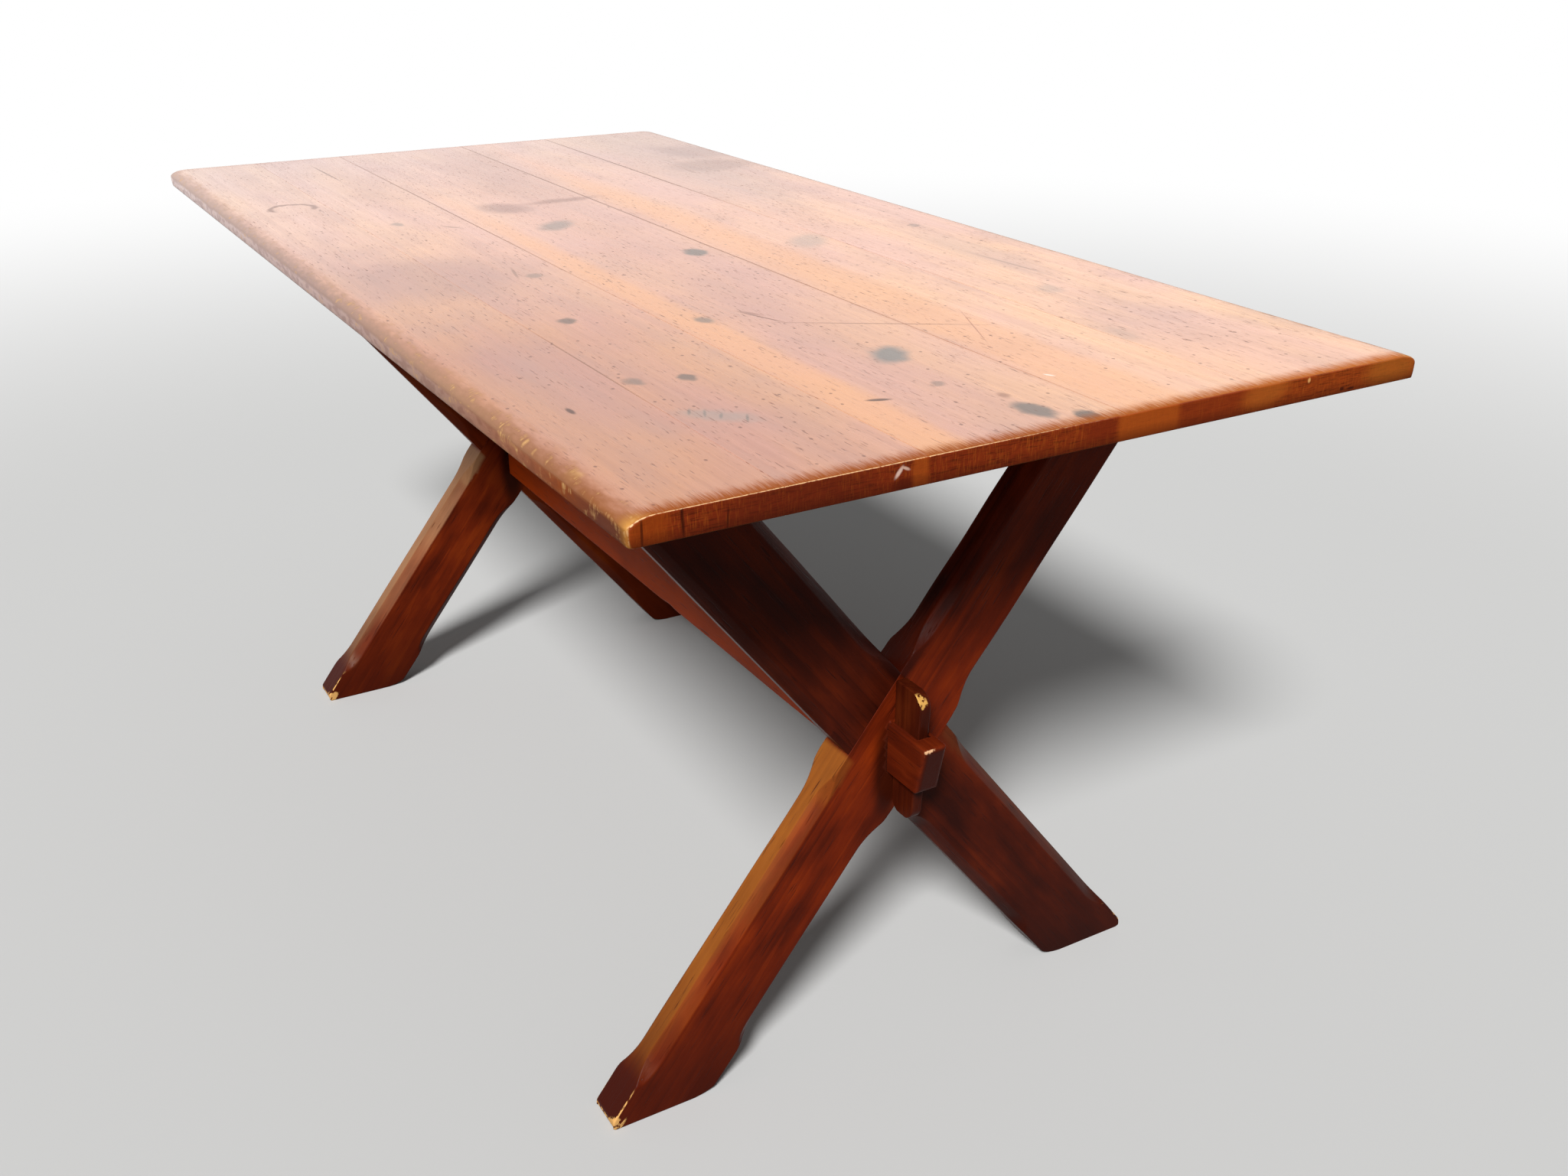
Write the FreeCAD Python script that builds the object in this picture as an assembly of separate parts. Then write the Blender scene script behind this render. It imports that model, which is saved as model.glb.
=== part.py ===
import FreeCAD, Part
import math
import os

from FreeCAD import Vector

# A sawbuck table: a five-board top on two trestles of crossed legs, tied by a wedged stretcher.
# Millimetres, +Z up. The origin is on the floor under the middle of the top, and +X is the front end.

# Top
TABLE_HEIGHT = 737.0
TOP_LENGTH = 1524.0
TOP_THICKNESS = 22.0
BOARD_1_WIDTH = 120.0
BOARD_2_WIDTH = 121.0
BOARD_3_WIDTH = 188.0
BOARD_4_WIDTH = 140.0
BOARD_5_WIDTH = 193.0
LONG_EDGE_ROLL_WIDTH = 21.0
LONG_EDGE_ROLL_DEPTH = 9.0
LONG_EDGE_UNDERCUT = 2.0
END_ROLL_WIDTH = 8.0
END_ROLL_DEPTH = 1.5
END_LOWER_ROUND = 1.0
PLAN_CORNER_RADIUS = 6.0

# Trestles
FRONT_OVERHANG = 225.0
REAR_OVERHANG = 252.0
FOOT_SPREAD = 546.0
LEG_TOP_SPREAD = 581.0
LEG_WIDTH = 91.0
LEG_THICKNESS = 41.0
TOE_BLUNT = 8.0
HEEL_ROUND = 24.0
CHAMFER = 11.0
TONGUE_LENGTH = 46.0
TONGUE_LEAD = 0.6
STOP_FROM_CROSSING = 62.0
STOP_ABOVE_FLOOR = 31.0

# Stretcher
STRETCHER_THICKNESS = 33.0
STRETCHER_HEIGHT = 78.0
STRETCHER_DROP = 5.5
STRETCHER_EDGE_ROUND = 2.0
TENON_THICKNESS = 26.0
TENON_HEIGHT = 54.0
TENON_REACH = 63.0
TENON_CUT_BACK = 13.0
TENON_END_ROUND = 4.0

# Wedges
WEDGE_THICKNESS = 12.0
WEDGE_WIDTH_AT_TENON = 40.5
WEDGE_TAPER = 1.0 / 14.0
WEDGE_ABOVE_TENON = 47.0
WEDGE_BELOW_TENON = 43.0
WEDGE_TOP_ROUND = 17.0
WEDGE_HEEL_ROUND = 3.0
WEDGE_TIP_ROUND = 13.0
WEDGE_ARRIS_ROUND = 1.0
WEDGE_CLEARANCE = 0.3
SLOT_RELIEF = 6.0

# Cleats and screws
CLEAT_WIDTH = 41.0
CLEAT_HEIGHT = 45.0
CLEAT_SETBACK = 6.0
CLEAT_BEVEL = 18.0
SCREW_SHANK_DIAMETER = 5.0
SCREW_HEAD_DIAMETER = 9.6
SCREW_HEAD_DEPTH = 2.8
SCREW_POINT_LENGTH = 7.0
SCREW_SLOT_WIDTH = 1.3
SCREW_SLOT_DEPTH = 1.2
SCREW_HOLE_CLEARANCE = 0.1
TOP_SCREW_BITE = 14.0
LEG_SCREW_BITE = 28.0
LEG_SCREW_SPACING = 40.0

# How far a cutting shape runs past the wood it cuts
TOOL_OVERRUN = 20.0

# Worked out from the sizes above
BOARD_WIDTHS = (BOARD_1_WIDTH, BOARD_2_WIDTH, BOARD_3_WIDTH, BOARD_4_WIDTH, BOARD_5_WIDTH)
TOP_WIDTH = sum(BOARD_WIDTHS)
TOP_UNDERSIDE = TABLE_HEIGHT - TOP_THICKNESS
LEG_RUN = (FOOT_SPREAD + LEG_TOP_SPREAD) / 2.0
LEG_ANGLE = math.atan2(TOP_UNDERSIDE, LEG_RUN)
LEG_SINE = math.sin(LEG_ANGLE)
LEG_COSINE = math.cos(LEG_ANGLE)
LEG_SLOPE = TOP_UNDERSIDE / LEG_RUN
HALF_LEVEL_WIDTH = LEG_WIDTH / (2.0 * LEG_SINE)
CROSSING_HEIGHT = FOOT_SPREAD / 2.0 * LEG_SLOPE
FRONT_FACE = TOP_LENGTH / 2.0 - FRONT_OVERHANG
REAR_FACE = -TOP_LENGTH / 2.0 + REAR_OVERHANG
STRETCHER_MIDDLE = CROSSING_HEIGHT - STRETCHER_DROP
TENON_TOP = STRETCHER_MIDDLE + TENON_HEIGHT / 2.0
TENON_BOTTOM = STRETCHER_MIDDLE - TENON_HEIGHT / 2.0
CLEAT_BOTTOM = TOP_UNDERSIDE - CLEAT_HEIGHT

# Trestles face outwards: +1 at the front end, -1 at the rear end.
ENDS = {"front": (FRONT_FACE, 1.0), "rear": (REAR_FACE, -1.0)}


def line(start, end):
    """A straight edge between two points."""
    return Part.LineSegment(start, end).toShape()


def arc(start, middle, end):
    """A circular edge through three points."""
    return Part.Arc(start, middle, end).toShape()


def prism(edges, sweep):
    """The solid that a closed outline sweeps along a vector."""
    return Part.Face(Part.Wire(edges)).extrude(sweep)


def polygon(points):
    """The straight edges of a closed outline."""
    return [line(a, b) for a, b in zip(points, points[1:] + points[:1])]


def box(low, high):
    """A box between two opposite corners, given as x, y, z."""
    size = [h - l for l, h in zip(low, high)]
    return Part.makeBox(*size, Vector(*low))


def quarter_ellipse(centre, first, second):
    """A quarter of an ellipse about a centre, from centre + first to centre + second."""
    if first.Length >= second.Length:
        curve = Part.Ellipse(centre + first, centre + second, centre)
        return Part.ArcOfEllipse(curve, 0.0, math.pi / 2.0).toShape()
    curve = Part.Ellipse(centre + second, centre - first, centre)
    return Part.ArcOfEllipse(curve, -math.pi / 2.0, 0.0).toShape()


# Top boards


def top_section():
    """The whole top's section, with both long edges rolled over above and drawn in below."""
    half = TOP_WIDTH / 2.0
    high = TABLE_HEIGHT
    low = TOP_UNDERSIDE
    widest = high - LONG_EDGE_ROLL_DEPTH
    rise = Vector(0, 0, LONG_EDGE_ROLL_DEPTH)
    drop = Vector(0, 0, low - widest)
    edges = []
    for side in (1.0, -1.0):
        roll = Vector(0, side * LONG_EDGE_ROLL_WIDTH, 0)
        undercut = Vector(0, side * LONG_EDGE_UNDERCUT, 0)
        edges.append(quarter_ellipse(Vector(0, side * half, widest) - roll, roll, rise))
        edges.append(quarter_ellipse(Vector(0, side * half, widest) - undercut, drop, undercut))
    flat = half - LONG_EDGE_ROLL_WIDTH
    floor = half - LONG_EDGE_UNDERCUT
    edges.append(line(Vector(0, -flat, high), Vector(0, flat, high)))
    edges.append(line(Vector(0, -floor, low), Vector(0, floor, low)))
    return Part.Wire(Part.__sortEdges__(edges))


def top_profile():
    """The whole top seen from the side, with a soft roll above and a small round below at both ends."""
    half = TOP_LENGTH / 2.0
    high = TABLE_HEIGHT
    low = TOP_UNDERSIDE
    edges = []
    for side in (1.0, -1.0):
        roll = Vector(side * END_ROLL_WIDTH, 0, 0)
        rise = Vector(0, 0, END_ROLL_DEPTH)
        round_out = Vector(side * END_LOWER_ROUND, 0, 0)
        round_down = Vector(0, 0, -END_LOWER_ROUND)
        upper = Vector(side * half, 0, high) - roll - rise
        lower = Vector(side * half, 0, low) - round_out - round_down
        edges.append(quarter_ellipse(upper, roll, rise))
        edges.append(quarter_ellipse(lower, round_down, round_out))
        edges.append(line(lower + round_out, upper + roll))
    flat = half - END_ROLL_WIDTH
    floor = half - END_LOWER_ROUND
    edges.append(line(Vector(-flat, 0, high), Vector(flat, 0, high)))
    edges.append(line(Vector(-floor, 0, low), Vector(floor, 0, low)))
    return Part.Wire(Part.__sortEdges__(edges))


def make_top_boards():
    """The five boards: strips of one rounded slab, meeting on flat glue faces."""
    along = Vector(TOP_LENGTH + 2.0 * TOOL_OVERRUN, 0, 0)
    across = Vector(0, TOP_WIDTH + 2.0 * TOOL_OVERRUN, 0)
    slab = Part.Face(top_section()).extrude(along).translated(-along / 2.0)
    ends = Part.Face(top_profile()).extrude(across).translated(-across / 2.0)
    half = TOP_LENGTH / 2.0
    low = TOP_UNDERSIDE - TOOL_OVERRUN
    high = TABLE_HEIGHT + TOOL_OVERRUN
    plan = box((-half, -TOP_WIDTH / 2.0, low), (half, TOP_WIDTH / 2.0, high))
    posts = [edge for edge in plan.Edges if abs(edge.BoundBox.ZLength - (high - low)) < 0.001]
    plan = plan.makeFillet(PLAN_CORNER_RADIUS, posts)
    slab = slab.common(ends).common(plan)
    reach = half + TOOL_OVERRUN
    boards = {}
    left = -TOP_WIDTH / 2.0
    for number, width in enumerate(BOARD_WIDTHS, start=1):
        strip = box((-reach, left, low), (reach, left + width, high))
        boards["top_board_%d" % number] = slab.common(strip)
        left += width
    return boards


def board_middles():
    """The y of each board's middle, from the first board to the last."""
    middles = []
    left = -TOP_WIDTH / 2.0
    for width in BOARD_WIDTHS:
        middles.append(left + width / 2.0)
        left += width
    return middles


# Legs. A leg is drawn about the plane x = 0, rising from its foot at -Y to its head at +Y.


def leg_line(height, offset):
    """The point at a height on a leg's long edge, offset level from its middle line."""
    return Vector(0, (height - CROSSING_HEIGHT) / LEG_SLOPE + offset, height)


def chamfer_cutter(start, along, outward, length, tongue_at_end):
    """The waste of one stopped chamfer on a square edge.

    The outline lies in the plane of the edge and the outward diagonal: an S of two arcs leads from just
    above the edge down to the full depth, and another leads out again where the chamfer stops at its end.
    """
    depth = CHAMFER / math.sqrt(2.0)
    fall = depth + TONGUE_LEAD
    middle_share = 0.5
    radius = (TONGUE_LENGTH ** 2 + fall ** 2) / (4.0 * fall)
    half_turn = math.asin(TONGUE_LENGTH / (2.0 * radius)) / 2.0
    arc_run = radius * math.sin(half_turn)
    arc_fall = radius * (1.0 - math.cos(half_turn))

    def point(run, height):
        return start + along * run + outward * height

    def tongue(origin, direction):
        begin = point(origin, TONGUE_LEAD)
        first = point(origin + direction * arc_run, TONGUE_LEAD - arc_fall)
        half = point(origin + direction * TONGUE_LENGTH * middle_share, TONGUE_LEAD - fall * middle_share)
        second = point(origin + direction * (TONGUE_LENGTH - arc_run), arc_fall - depth)
        end = point(origin + direction * TONGUE_LENGTH, -depth)
        return arc(begin, first, half), arc(half, second, end)

    top_start = point(0.0, CHAMFER)
    top_end = point(length, CHAMFER)
    edges = [line(top_start, point(0.0, TONGUE_LEAD)), *tongue(0.0, 1.0)]
    if tongue_at_end:
        edges.append(line(point(TONGUE_LENGTH, -depth), point(length - TONGUE_LENGTH, -depth)))
        edges.extend(tongue(length, -1.0))
        edges.append(line(point(length, TONGUE_LEAD), top_end))
    else:
        edges.append(line(point(TONGUE_LENGTH, -depth), point(length, -depth)))
        edges.append(line(point(length, -depth), top_end))
    edges.append(line(top_end, top_start))
    width = along.cross(outward) * (2.0 * CHAMFER)
    face = Part.Face(Part.Wire(Part.__sortEdges__(edges)))
    return face.extrude(width).translated(-width / 2.0)


def leg_chamfers():
    """The waste of every chamfer on a leg: four edges below the crossing and four above it."""
    upwards = Vector(0, LEG_COSINE, LEG_SINE)
    across = Vector(0, -LEG_SINE, LEG_COSINE)
    crossing = Vector(0, 0, CROSSING_HEIGHT)
    cutters = []
    for side in (1.0, -1.0):
        for face in (1.0, -1.0):
            edge = across * (side * LEG_WIDTH / 2.0) + Vector(face * LEG_THICKNESS / 2.0, 0, 0)
            outward = across * side + Vector(face, 0, 0)
            outward.normalize()
            edge_height = CROSSING_HEIGHT + edge.z
            to_floor_stop = (edge_height - STOP_ABOVE_FLOOR) / LEG_SINE - STOP_FROM_CROSSING
            past_head = (TABLE_HEIGHT - edge_height) / LEG_SINE - STOP_FROM_CROSSING
            below = crossing + edge - upwards * STOP_FROM_CROSSING
            above = crossing + edge + upwards * STOP_FROM_CROSSING
            cutters.append(chamfer_cutter(below, -upwards, outward, to_floor_stop, True))
            cutters.append(chamfer_cutter(above, upwards, outward, past_head, False))
    return cutters


def half_lap():
    """The waste of the half lap: the other leg's band through the inner half of this one."""
    reach = LEG_WIDTH
    low = leg_line(CROSSING_HEIGHT - reach, 0.0)
    high = leg_line(CROSSING_HEIGHT + reach, 0.0)
    corners = []
    for middle, offset in ((low, -1.0), (low, 1.0), (high, 1.0), (high, -1.0)):
        corners.append(Vector(0, -middle.y + offset * HALF_LEVEL_WIDTH, middle.z))
    return prism(polygon(corners), Vector(-LEG_THICKNESS, 0, 0))


def make_leg():
    """One leg, with its foot and head cut level, its toe blunted, its heel rounded, its half lap and its mortise."""
    toe = leg_line(0.0, TOE_BLUNT - HALF_LEVEL_WIDTH)
    heel = leg_line(0.0, HALF_LEVEL_WIDTH)
    head_right = leg_line(TOP_UNDERSIDE, HALF_LEVEL_WIDTH)
    head_left = leg_line(TOP_UNDERSIDE, -HALF_LEVEL_WIDTH)
    toe_top = toe + Vector(0, 0, TOE_BLUNT * LEG_SLOPE)
    thickness = Vector(LEG_THICKNESS, 0, 0)
    blank = prism(polygon([toe, heel, head_right, head_left, toe_top]), thickness)
    blank.translate(-thickness / 2.0)
    heel_edge = [edge for edge in blank.Edges if edge.CenterOfMass.distanceToPoint(heel) < 0.001]
    blank = blank.makeFillet(HEEL_ROUND, heel_edge)
    half_tenon = TENON_THICKNESS / 2.0
    mortise_low = (-LEG_THICKNESS, -half_tenon, TENON_BOTTOM)
    mortise_high = (LEG_THICKNESS, half_tenon, TENON_TOP)
    return blank.cut(leg_chamfers() + [half_lap(), box(mortise_low, mortise_high)])


def turned(shape):
    """A copy turned half round about the upright axis."""
    copy = shape.copy()
    copy.rotate(Vector(0, 0, 0), Vector(0, 0, 1), 180.0)
    return copy


def make_trestles():
    """Both trestles: four copies of one leg, the inner leg of each pair turned half round."""
    leg = make_leg()
    back = turned(leg)
    legs = {}
    for name, (face, outwards) in ENDS.items():
        middle = Vector(face - outwards * LEG_THICKNESS / 2.0, 0, 0)
        outer, inner = (leg, back) if outwards > 0 else (back, leg)
        legs[name + "_outer_leg"] = outer.translated(middle)
        legs[name + "_inner_leg"] = inner.translated(middle)
    return legs


# Stretcher and wedges


def wedge_edge(height):
    """How far a wedge's sloping edge stands out from the trestle's face at a height."""
    return WEDGE_WIDTH_AT_TENON + (height - TENON_TOP) * WEDGE_TAPER


def wedge_slot(face, outwards):
    """The waste of one tenon's slot, sloped with the wedge and cut back behind the trestle's face."""
    over = WEDGE_CLEARANCE
    low = TENON_BOTTOM - STRETCHER_HEIGHT
    high = TENON_TOP + STRETCHER_HEIGHT
    half = WEDGE_THICKNESS / 2.0 + over
    inner = face - outwards * SLOT_RELIEF
    corners = [
        Vector(inner, -half, low),
        Vector(face + outwards * (wedge_edge(low) + over), -half, low),
        Vector(face + outwards * (wedge_edge(high) + over), -half, high),
        Vector(inner, -half, high),
    ]
    return prism(polygon(corners), Vector(0, 2.0 * half, 0))


def make_stretcher():
    """The stretcher: a board between the trestles, shouldered down to through tenons with sloping ends."""
    shoulders = (REAR_FACE + LEG_THICKNESS, FRONT_FACE - LEG_THICKNESS)
    half = STRETCHER_THICKNESS / 2.0
    rise = STRETCHER_HEIGHT / 2.0
    low = (shoulders[0], -half, STRETCHER_MIDDLE - rise)
    high = (shoulders[1], half, STRETCHER_MIDDLE + rise)
    board = box(low, high)
    length = shoulders[1] - shoulders[0]
    long_edges = [edge for edge in board.Edges if abs(edge.BoundBox.XLength - length) < 0.001]
    board = board.makeFillet(STRETCHER_EDGE_ROUND, long_edges)
    side = -TENON_THICKNESS / 2.0
    rear_end = REAR_FACE - TENON_REACH
    front_end = FRONT_FACE + TENON_REACH
    corners = [
        Vector(rear_end, side, TENON_TOP),
        Vector(front_end, side, TENON_TOP),
        Vector(front_end - TENON_CUT_BACK, side, TENON_BOTTOM),
        Vector(rear_end + TENON_CUT_BACK, side, TENON_BOTTOM),
    ]
    tenon = prism(polygon(corners), Vector(0, TENON_THICKNESS, 0))
    end_edges = [edge for edge in tenon.Edges if edge.BoundBox.XLength < TENON_REACH]
    tenon = tenon.makeFillet(TENON_END_ROUND, end_edges)
    slots = [wedge_slot(face, outwards) for face, outwards in ENDS.values()]
    return board.fuse(tenon).removeSplitter().cut(slots)


def make_wedge(face, outwards):
    """A wedge that bears on the trestle's outer face and tapers downwards, its corners rounded."""
    low = TENON_BOTTOM - WEDGE_BELOW_TENON
    high = TENON_TOP + WEDGE_ABOVE_TENON
    half = WEDGE_THICKNESS / 2.0
    bearing = face + outwards * WEDGE_CLEARANCE
    heel = Vector(bearing, -half, high)
    crown = Vector(face + outwards * wedge_edge(high), -half, high)
    tip_out = Vector(face + outwards * wedge_edge(low), -half, low)
    tip_in = Vector(bearing, -half, low)
    blank = prism(polygon([heel, crown, tip_out, tip_in]), Vector(0, WEDGE_THICKNESS, 0))

    def corner(shape, point):
        middle = Vector(point.x, 0, point.z)
        return [edge for edge in shape.Edges if edge.CenterOfMass.distanceToPoint(middle) < 0.001]

    blank = blank.makeFillet(WEDGE_HEEL_ROUND, corner(blank, heel))
    blank = blank.makeFillet(WEDGE_TOP_ROUND, corner(blank, crown))
    blank = blank.makeFillet(WEDGE_TIP_ROUND, corner(blank, tip_out) + corner(blank, tip_in))
    rims = [edge for edge in blank.Edges if edge.BoundBox.YLength < 0.001]
    return blank.makeFillet(WEDGE_ARRIS_ROUND, rims)


# Cleats and screws


def screw(seat, direction, length, clearance=0.0, slotted=True):
    """A flat-headed wood screw with its head flush at the seat, or with a clearance, the hole for it."""
    shank = SCREW_SHANK_DIAMETER / 2.0 + clearance
    head = SCREW_HEAD_DIAMETER / 2.0 + clearance
    outline = [
        Vector(0, 0, 0),
        Vector(head, 0, 0),
        Vector(shank, 0, SCREW_HEAD_DEPTH),
        Vector(shank, 0, length - SCREW_POINT_LENGTH),
        Vector(0, 0, length + clearance),
    ]
    solid = Part.Face(Part.Wire(polygon(outline))).revolve(Vector(0, 0, 0), Vector(0, 0, 1), 360.0)
    if slotted:
        half_slot = SCREW_SLOT_WIDTH / 2.0
        slot_low = (-SCREW_HEAD_DIAMETER, -half_slot, -SCREW_SLOT_DEPTH)
        slot_high = (SCREW_HEAD_DIAMETER, half_slot, SCREW_SLOT_DEPTH)
        solid = solid.cut(box(slot_low, slot_high))
    solid.Placement = FreeCAD.Placement(seat, FreeCAD.Rotation(Vector(0, 0, 1), direction))
    return solid


def top_screw_places(face, outwards):
    """Seats of the screws that go up through a cleat, one under the middle of each board."""
    x = face - outwards * (LEG_THICKNESS + CLEAT_WIDTH / 2.0)
    return [Vector(x, y, CLEAT_BOTTOM) for y in board_middles()]


def leg_screw_places(face, outwards):
    """Seats of the screws that go out through a cleat, two into the head of each leg."""
    x = face - outwards * (LEG_THICKNESS + CLEAT_WIDTH)
    z = TOP_UNDERSIDE - CLEAT_HEIGHT / 2.0
    middle = leg_line(z, 0.0).y
    half = LEG_SCREW_SPACING / 2.0
    return [Vector(x, side * middle + step, z) for side in (-1.0, 1.0) for step in (-half, half)]


def make_cleat(face, outwards):
    """A cleat against the inside of a trestle, its lower corners bevelled off."""
    half = leg_line(TOP_UNDERSIDE, HALF_LEVEL_WIDTH).y - CLEAT_SETBACK
    x = face - outwards * LEG_THICKNESS
    corners = [
        Vector(x, -half, TOP_UNDERSIDE),
        Vector(x, half, TOP_UNDERSIDE),
        Vector(x, half, CLEAT_BOTTOM + CLEAT_BEVEL),
        Vector(x, half - CLEAT_BEVEL, CLEAT_BOTTOM),
        Vector(x, CLEAT_BEVEL - half, CLEAT_BOTTOM),
        Vector(x, -half, CLEAT_BOTTOM + CLEAT_BEVEL),
    ]
    return prism(polygon(corners), Vector(-outwards * CLEAT_WIDTH, 0, 0))


def make_fastened(nodes):
    """Adds the cleats and screws, and bores every piece that a screw goes through."""
    upright = Vector(0, 0, 1)
    top_length = CLEAT_HEIGHT + TOP_SCREW_BITE
    leg_length = CLEAT_WIDTH + LEG_SCREW_BITE
    clear = SCREW_HOLE_CLEARANCE
    board_names = ["top_board_%d" % (index + 1) for index in range(len(BOARD_WIDTHS))]
    for name, (face, outwards) in ENDS.items():
        out = Vector(outwards, 0, 0)
        top_seats = top_screw_places(face, outwards)
        leg_seats = leg_screw_places(face, outwards)
        top_holes = [screw(seat, upright, top_length, clear, False) for seat in top_seats]
        leg_holes = [screw(seat, out, leg_length, clear, False) for seat in leg_seats]
        for board, hole in zip(board_names, top_holes):
            nodes[board] = nodes[board].cut(hole)
        for leg in (name + "_outer_leg", name + "_inner_leg"):
            nodes[leg] = nodes[leg].cut(leg_holes)
        nodes[name + "_cleat"] = make_cleat(face, outwards).cut(top_holes + leg_holes)
        top_screws = [screw(seat, upright, top_length) for seat in top_seats]
        leg_screws = [screw(seat, out, leg_length) for seat in leg_seats]
        nodes[name + "_top_screws"] = Part.makeCompound(top_screws)
        nodes[name + "_leg_screws"] = Part.makeCompound(leg_screws)


def make_table():
    """Every piece of the table by its name."""
    nodes = make_top_boards()
    nodes.update(make_trestles())
    nodes["stretcher"] = make_stretcher()
    for name, (face, outwards) in ENDS.items():
        nodes[name + "_wedge"] = make_wedge(face, outwards)
    make_fastened(nodes)
    return nodes


os.makedirs("parts", exist_ok=True)
for node, shape in make_table().items():
    shape.exportStep("parts/%s.step" % node)
    print("%-18s solids %d volume %10.0f valid %s" % (node, len(shape.Solids), shape.Volume, shape.isValid()))
print("leg angle %.2f, crossing at %.1f mm" % (math.degrees(LEG_ANGLE), CROSSING_HEIGHT))
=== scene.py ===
# %% [markdown]
# # A sawbuck table in old stained pine
# The table is five glued pine boards on two trestles of crossed legs. A long stretcher goes through both
# crossings and is locked by a wedge at each end. The solids come from CAD and are already in the right place,
# so this lesson only dresses them: it lofts softer, worn versions of the wood pieces and gives them their finish.

# %% Load the frame
import math

import bpy
import mathutils
import numpy as np
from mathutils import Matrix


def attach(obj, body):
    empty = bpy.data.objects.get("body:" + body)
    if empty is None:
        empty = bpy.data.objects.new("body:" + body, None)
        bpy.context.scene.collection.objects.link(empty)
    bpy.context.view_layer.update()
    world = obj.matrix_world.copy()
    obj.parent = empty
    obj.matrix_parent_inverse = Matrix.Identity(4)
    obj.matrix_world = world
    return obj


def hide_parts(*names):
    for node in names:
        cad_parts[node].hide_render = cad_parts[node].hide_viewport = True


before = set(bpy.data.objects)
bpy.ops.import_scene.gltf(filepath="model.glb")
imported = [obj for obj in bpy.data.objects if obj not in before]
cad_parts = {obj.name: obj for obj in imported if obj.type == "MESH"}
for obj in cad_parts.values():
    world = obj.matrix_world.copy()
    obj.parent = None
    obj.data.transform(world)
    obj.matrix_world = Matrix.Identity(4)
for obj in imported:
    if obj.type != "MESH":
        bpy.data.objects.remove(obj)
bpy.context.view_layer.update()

# %% [markdown]
# ## Camera
# The camera was fitted to the straight edges of the real table, so the render can be laid over a view of it.
# Its place, heading, height and lens are plain numbers, and the picture is 2049 by 1537 pixels.

# %% Camera
PICTURE_WIDTH = 2049
FOCAL_PIXELS = 2016.2
CAMERA_AZIMUTH = math.radians(59.61)
CAMERA_ELEVATION = math.radians(24.72)
CAMERA_PLACE = (1.6117, -0.7605, 1.1140)

camera_data = bpy.data.cameras.new("camera")
camera_data.sensor_width = 36.0
camera_data.lens = FOCAL_PIXELS * camera_data.sensor_width / PICTURE_WIDTH
camera = bpy.data.objects.new("camera", camera_data)
camera.location = CAMERA_PLACE
camera.rotation_euler = (math.pi / 2 - CAMERA_ELEVATION, 0.0, CAMERA_AZIMUTH)
bpy.context.scene.collection.objects.link(camera)
bpy.context.scene.camera = camera
bpy.context.scene.view_settings.view_transform = "Standard"
print("lens", round(camera_data.lens, 2), "mm")

# %% [markdown]
# ## Nodes and colours
# Every material below is a net of nodes. One small function adds a node, sets it and links it, and returns the
# output that later nodes read. Colours are written as sRGB hex and turned to linear light in one place.

# %% Nodes and colours
def linear(colour):
    """A hex colour as linear RGBA: each sRGB channel through the standard curve."""
    parts = np.array([int(colour[i:i + 2], 16) for i in (1, 3, 5)]) / 255.0
    parts = np.where(parts <= 0.04045, parts / 12.92, ((parts + 0.055) / 1.055) ** 2.4)
    return (*parts.tolist(), 1.0)


def add(tree, kind, settings=None, inputs=None, out=None, stops=()):
    """Adds one node, sets its properties, then sets or links its inputs, and returns one output.

    Inputs go by name or number. A socket is linked, a hex colour is made linear, and anything else is set.
    stops are the places and colours of a colour ramp.
    """
    node = tree.nodes.new("ShaderNode" + kind)
    for key, value in (settings or {}).items():
        setattr(node, key, value)
    for number, (where, colour) in enumerate(stops):
        ramp = node.color_ramp.elements
        stop = ramp[number] if number < len(ramp) else ramp.new(where)
        stop.position = where
        stop.color = linear(colour)
    for key, value in (inputs or {}).items():
        named = [s for s in node.inputs if s.enabled and s.name == key]
        socket = node.inputs[key] if isinstance(key, int) else named[0]
        if isinstance(value, bpy.types.NodeSocket):
            tree.links.new(value, socket)
        else:
            socket.default_value = linear(value) if isinstance(value, str) else value
    return node.outputs[out] if out else next((s for s in node.outputs if s.enabled), None)


def new_material(name):
    """An empty node material and its tree."""
    material = bpy.data.materials.new(name)
    material.use_nodes = True
    material.node_tree.nodes.clear()
    return material, material.node_tree


print("a middle grey in linear light", round(linear("#808080")[0], 3))

# %% [markdown]
# ## Studio light
# One broad lamp shines from the front left, low enough to reach the far trestle under the top, and leaves the
# arms under the near overhang in shade. The world fills the shadows a little. The camera and the varnish see
# it as plain white, so the top picks up the pale veil that a polished board has at a low angle.

# %% Studio light
LAMP_SPREAD = math.radians(13)
LAMP_TOWARDS = (0.545, -0.50, 0.665)
LAMP_STRENGTH = 5.0
FILL = 0.17


def looked_at(tree):
    """1 for rays from the camera, from a gloss or through glass, and 0 for rays that only carry light."""
    path = add(tree, "LightPath").node.outputs
    seen = add(tree, "Math", {"operation": "MAXIMUM"}, {0: path["Is Camera Ray"], 1: path["Is Glossy Ray"]})
    return add(tree, "Math", {"operation": "MAXIMUM"}, {0: seen, 1: path["Is Transmission Ray"]})


world = bpy.data.worlds.new("white_surround")
world.use_nodes = True
tree = world.node_tree
tree.nodes.clear()
strength = add(tree, "MapRange", None, {"Value": looked_at(tree), "To Min": FILL, "To Max": 1.0})
background = add(tree, "Background", None, {"Color": "#FFFFFF", "Strength": strength})
add(tree, "OutputWorld", None, {"Surface": background})
bpy.context.scene.world = world

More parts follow.
